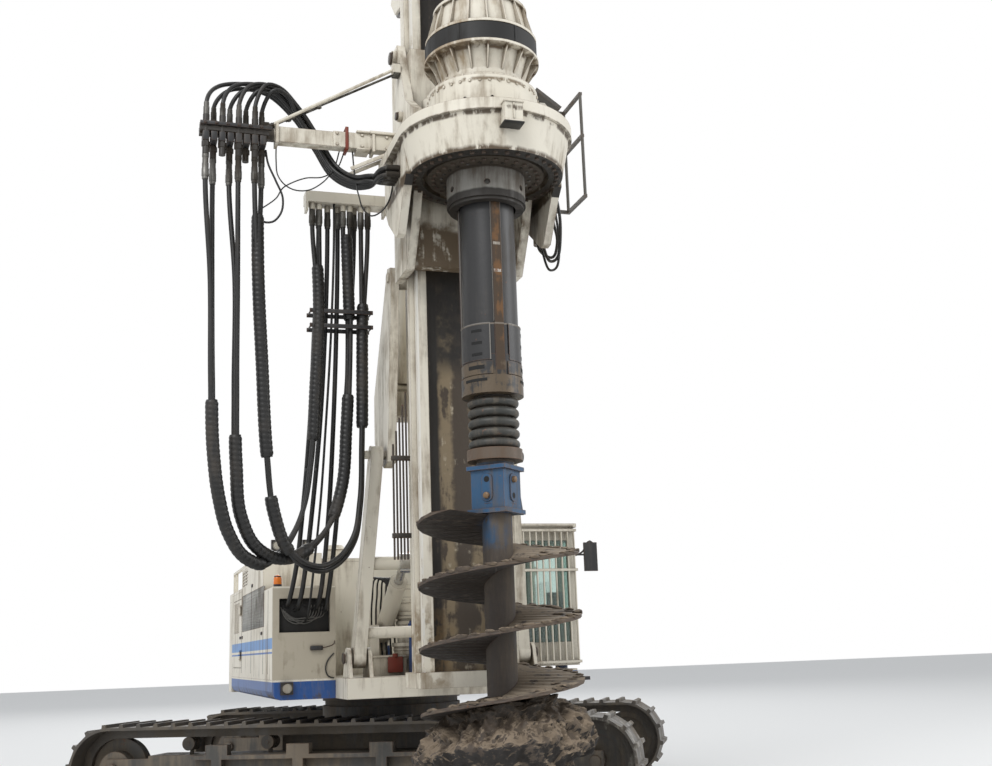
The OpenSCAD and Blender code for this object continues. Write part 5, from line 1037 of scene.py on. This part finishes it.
# Beacon on the locker, lenses of the lamps, the mirror's glass and bent tube.
# Orange and clear plastic, silvered glass, black painted tube.
amber = weathered("amber_plastic", (0.75, 0.19, 0.02), (0.35, 0.16, 0.05), 0.35, rust_share=0.0, gloss=0.2,
    edge=0.0, streak=0.2)
beacon = turned("beacon", ((0.043, 2.446), (0.045, 2.452), (0.043, 2.50), (0.038, 2.525), (0.028, 2.538),
    (0.012, 2.545)), 24)
beacon.data.transform(Matrix.Translation((-1.665, -1.93, 0)))
one_piece("beacon_dome", [beacon], amber, "upper", 50)
clear_lens = weathered("clear_lens", (0.46, 0.43, 0.36), (0.25, 0.21, 0.16), 0.55, rust_share=0.0, gloss=0.12,
    edge=0.0, streak=0.3)
one_piece("lamp_lenses", [set_at(turned("lens", ((r, 0), (r, 0.003), (0.040, 0.008), (0.018, 0.011)), 24),
    spot, (0, -1, 0)) for r, spot in ((0.050, (-1.575, -2.0625, 1.35)), (0.052, (-1.56, -1.0595, 2.945)),
    (0.052, (-1.20, -1.0595, 2.945)))], clear_lens, "upper", 50)
rim_rings = ((0.060, 0), (0.060, 0.012), (0.0585, 0.014), (0.0515, 0.014), (0.0515, 0.004))
one_piece("lamp_rims", [set_at(turned("rim", rim_rings, 24), spot, (0, -1, 0))
    for spot in ((-1.575, -2.058, 1.35), (-1.56, -1.0595, 2.945), (-1.20, -1.0595, 2.945))], fitting_steel,
    "upper")
silver = weathered("mirror_glass", (0.75, 0.78, 0.80), (0.45, 0.42, 0.36), 0.2, rust_share=0.0, gloss=0.05,
    metal=0.9, edge=0.0, streak=0.3)
one_piece("mirror_glass", [plate("glass", (1.852, -2.0748, 2.54), (1.988, -2.0728, 2.85), 0.0008)], silver,
    "upper")
mirror_line = smooth_line(((1.64, -2.09, 2.70), (1.74, -2.09, 2.715), (1.83, -2.09, 2.76),
    (1.88, -2.09, 2.85), (1.92, -2.09, 2.875), (1.955, -2.09, 2.85)), 0.02)
mirror_tube = tube_round("mirror_tube", mirror_line, 0.011, black, 10)
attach(mirror_tube, "upper")

# Net behind the slats of the side grilles: welded galvanised wire, dull with dust.
# It keeps leaves and stones out of the cooler.
net_grey = weathered("net_grey", (0.50, 0.50, 0.48), (0.12, 0.10, 0.08), 0.5, rust_share=0.25, metal=0.3,
    edge=0.0)
mesh_size = 0.03
for s, side_name in ((-1, "right"), (1, "left")):
    wires = [plate("wire", (-0.0015, -1.215 + mesh_size * i, 2.025), (0.0015, -1.2125 + mesh_size * i, 2.475),
        0.0006) for i in range(81)]
    wires += [plate("wire", (-0.0015, -1.215, 2.035 + mesh_size * i), (0.0015, 1.205, 2.0375 + mesh_size * i),
        0.0006) for i in range(15)]
    for wire in wires:
        wire.data.transform(Matrix.Translation((s * 1.7225, 0, 0)))
    one_piece(f"grille_net_{side_name}", wires, net_grey, "upper")

# Trim of the house: rubber lips in the seams of the panels, pressed latches on the doors,
# and the pull handle of the cab door on two mounts. All of it is black.
trim = []
for s, seam_rows, latch_rows in ((-1, (-1.60, -1.15, 0.10, 1.24), ((0.0, 2.55), (-1.02, 1.95), (1.16, 1.95),
        (1.40, 1.95))), (1, (0.10, 1.24), ((0.0, 2.55), (1.16, 1.95), (1.40, 1.95)))):
    for y in seam_rows:
        seam = plate("seam", (-0.002, y - 0.004, 1.50), (0.003, y + 0.004, 2.40 if y < -1.1 else 2.58), 0.001)
        seam.data.transform(Matrix.Translation((s * 1.7255, 0, 0)))
        trim.append(seam)
    for y, z in latch_rows:
        trim.append(side_plate("latch", s, (1.724, 1.738), (y - 0.05, y + 0.05), (z - 0.018, z + 0.018),
            0.005))
one_piece("house_trim", trim, black, "upper")
one_piece("cab_door_handle", [plate("handle", (1.722, -1.66, 2.10), (1.740, -1.52, 2.13), 0.006),
    plate("mount", (1.69, -1.65, 2.105), (1.726, -1.63, 2.125), 0.003),
    plate("mount", (1.69, -1.55, 2.105), (1.726, -1.53, 2.125), 0.003)], black, "cab_door")

# Locker's inside behind the hose ends: a black lining with a row of nipples.
# Thin grey cables droop across it, dusty.
locker_black = weathered("locker_black", (0.010, 0.009, 0.008), (0.06, 0.05, 0.04), 0.4, rust_share=0.0,
    gloss=0.7, edge=0.0)
inside = [plate("lining", (-1.652, -1.935, 1.934), (-1.112, -1.925, 2.286), 0.002)]
for i in range(9):
    x, z = -1.62 + 0.062 * i, 2.255 - 0.04 * (i % 3)
    inside.append(rod("nipple", (x, -1.93, z), (x, -1.965, z), 0.013, 10))
one_piece("locker_lining", inside, locker_black, "upper")
droops = []
for i in range(6):
    left, right = -1.63 + 0.02 * i, -1.30 + 0.03 * i
    sag = 2.02 + 0.03 * (i % 3)
    route = ((left, -1.945, 2.20 - 0.02 * i), (left + 0.05, -1.96, 2.08), ((left + right) / 2, -1.97, sag),
        (right - 0.03, -1.96, 2.10), (right, -1.945, 2.22))
    droops.append(tube_round("droop", smooth_line(route, 0.04), 0.006, rubber, 6))
one_piece("locker_cables", droops, weathered("cable_grey", (0.10, 0.095, 0.085), (0.16, 0.13, 0.10), 0.5,
    rust_share=0.0, edge=0.0), "upper")

# Pull handle on the locker's front with its lanyard, a loop of wire below it, and a small red
# canister in the deck's nose.
handle = [plate("grip", (-1.33, -2.045, 1.735), (-1.19, -2.018, 1.785), 0.012),
    plate("foot", (-1.30, -2.020, 1.75), (-1.28, -1.999, 1.77), 0.003),
    plate("foot", (-1.24, -2.020, 1.75), (-1.22, -1.999, 1.77), 0.003)]
lanyard = tube_round("lanyard", smooth_line(((-1.19, -2.03, 1.76), (-1.13, -2.04, 1.772),
    (-1.07, -2.03, 1.80), (-1.06, -2.012, 1.83)), 0.03), 0.006, rubber, 6)
one_piece("locker_handle", handle + [lanyard], black, "upper")
one_piece("loop_wire", [tube_round("loop_wire", smooth_line(((-1.07, -2.006, 1.70), (-1.14, -2.01, 1.62),
    (-1.16, -2.01, 1.53), (-1.13, -2.01, 1.46), (-1.07, -2.01, 1.44)), 0.03), 0.007, rubber, 6)], rubber,
    "upper")
one_piece("red_canister", [plate("box", (-0.47, -1.975, 1.47), (-0.30, -1.945, 1.64), 0.012),
    rod("cap", (-0.385, -1.96, 1.635), (-0.385, -1.96, 1.675), 0.03, 14)], red_paint, "upper")

# Five thin pipes up the right flank of the mast, held by two clamps.
# Drawn steel pipe, black with oil.
pipes = [rod("pipe", (-0.50 - 0.035 * i, -3.14, 2.60), (-0.50 - 0.035 * i, -3.14, 4.35 - 0.14 * i), 0.011, 8)
    for i in range(5)]
pipes += [plate("clamp", (-0.66, -3.165, z), (-0.42, -3.115, z + 0.05), 0.006) for z in (2.82, 3.62)]
one_piece("mast_pipes", pipes, dark_steel, "mast")

# Motor stack on the deck: cast flanges with bolts round each, painted cream, oily.
# A fan of thin rubber hoses rises from it and drops behind it.
stack = []
for z, r in ((1.70, 0.150), (1.86, 0.135), (2.05, 0.125), (2.22, 0.105)):
    flange_rings = ((r, z), (r + 0.008, z + 0.006), (r + 0.008, z + 0.026), (r, z + 0.032))
    stack.append(turned("flange", flange_rings, 28))
    for k in range(8):
        turn, out = 2 * math.pi * k / 8 + 0.2, r - 0.012
        stack.append(turned("bolt", hex_bolt, 6))
        stack[-1].data.transform(Matrix.Translation((math.cos(turn) * out, math.sin(turn) * out, z + 0.032)))
for part in stack:
    part.data.transform(Matrix.Translation((-0.19, -1.72, 0)))
one_piece("motor_flanges", stack, white, "upper")
fan = []
for i in range(9):
    x = -0.60 + 0.052 * i
    route = ((x * 0.35 - 0.12, -1.62, 2.36), (x * 0.6 - 0.08, -1.56, 2.50), (x, -1.52, 2.52),
        (x - 0.04, -1.49, 2.30), (x - 0.05, -1.48, 1.95), (x - 0.03, -1.48, 1.62))
    fan.append(tube_round("fan", smooth_line(route, 0.05), 0.011, rubber, 6))
one_piece("motor_hoses", fan, rubber, "upper")

# Pins of the boom's feet and head: turned steel, greasy.
# Each has a keeper plate across its head.
boom_pins, r = [], 0.055
for s in (-1, 1):
    for x, y, z in ((1.045, -2.50, 1.64), (0.885, -2.75, 3.74)):
        boom_pins += [set_at(turned("pin", ((r, 0), (r + 0.004, 0.004), (r + 0.004, 0.016), (r, 0.020)), 24),
            (s * x, y, z), (s, 0, 0)), side_plate("keeper", s, (x, x + 0.012), (y - r, y + r),
            (z + r * 0.3, z + r * 0.8), 0.002)]
one_piece("boom_pins", boom_pins, dark_steel, "boom")

# Mast joint: a row of hexagon heads on each side, below the flange between the mast's two lengths.
# Dark steel, clear of the rails that the sledge's shoes grip.
bolt_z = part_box("mast_lower")[1][2] - 0.05
one_piece("mast_bolts", row_of("bolt", big_bolt, [towards((s * 0.421, -3.32 + 0.09 * k, bolt_z), (s, 0, 0))
    for s in (-1, 1) for k in range(5)], 6), dark_steel, "mast")

# Hoist rope: greasy steel wire rope from the main winch over the sheaves to the kelly's swivel.
# The CAD run stays as it is up to the front sheave. The strand below it is one straight tube down to the
# swivel.
rope_run = merged_copy("rope_run", "main_rope")
strand_foot = min(corner.co.z for corner in rope_run.data.vertices if corner.co.y < -4.5)
for corner in rope_run.data.vertices:
    corner.select = corner.co.y < -4.5 and corner.co.z < strand_foot + 0.1
bpy.ops.object.mode_set(mode="EDIT")
bpy.ops.mesh.delete(type="VERT")
bpy.ops.mesh.select_all(action="SELECT")
bpy.ops.mesh.fill_holes(sides=0)
bpy.ops.object.mode_set(mode="OBJECT")
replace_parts(one_piece("rope_run", [rope_run], rope_steel, "mast"), "main_rope")
strand_top = 20.71
strand_y, rope_radius = -4.614, 0.014
rope_strand = tube_round("rope_strand",
    [Vector((0, strand_y, strand_top + (strand_foot - strand_top) * i / 40)) for i in range(41)],
    rope_radius, rope_steel, 12)
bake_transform(rope_strand)

# Grease nipples round the front of the casing's neck.
# Small turned steel fittings, screwed in.
nipple_places = []
for turn in (200, 235, 262, 290, 325):
    out = Vector((math.cos(math.radians(turn)), math.sin(math.radians(turn)), 0))
    nipple_places.append(towards(kelly_at + out * 0.545 + Vector((0, 0, 6.80)), out))
one_piece("grease_nipples", row_of("nipple", ((0.016, 0), (0.016, 0.018), (0.010, 0.022), (0.007, 0.036),
    (0.004, 0.040)), nipple_places, 10), fitting_steel, "sledge")
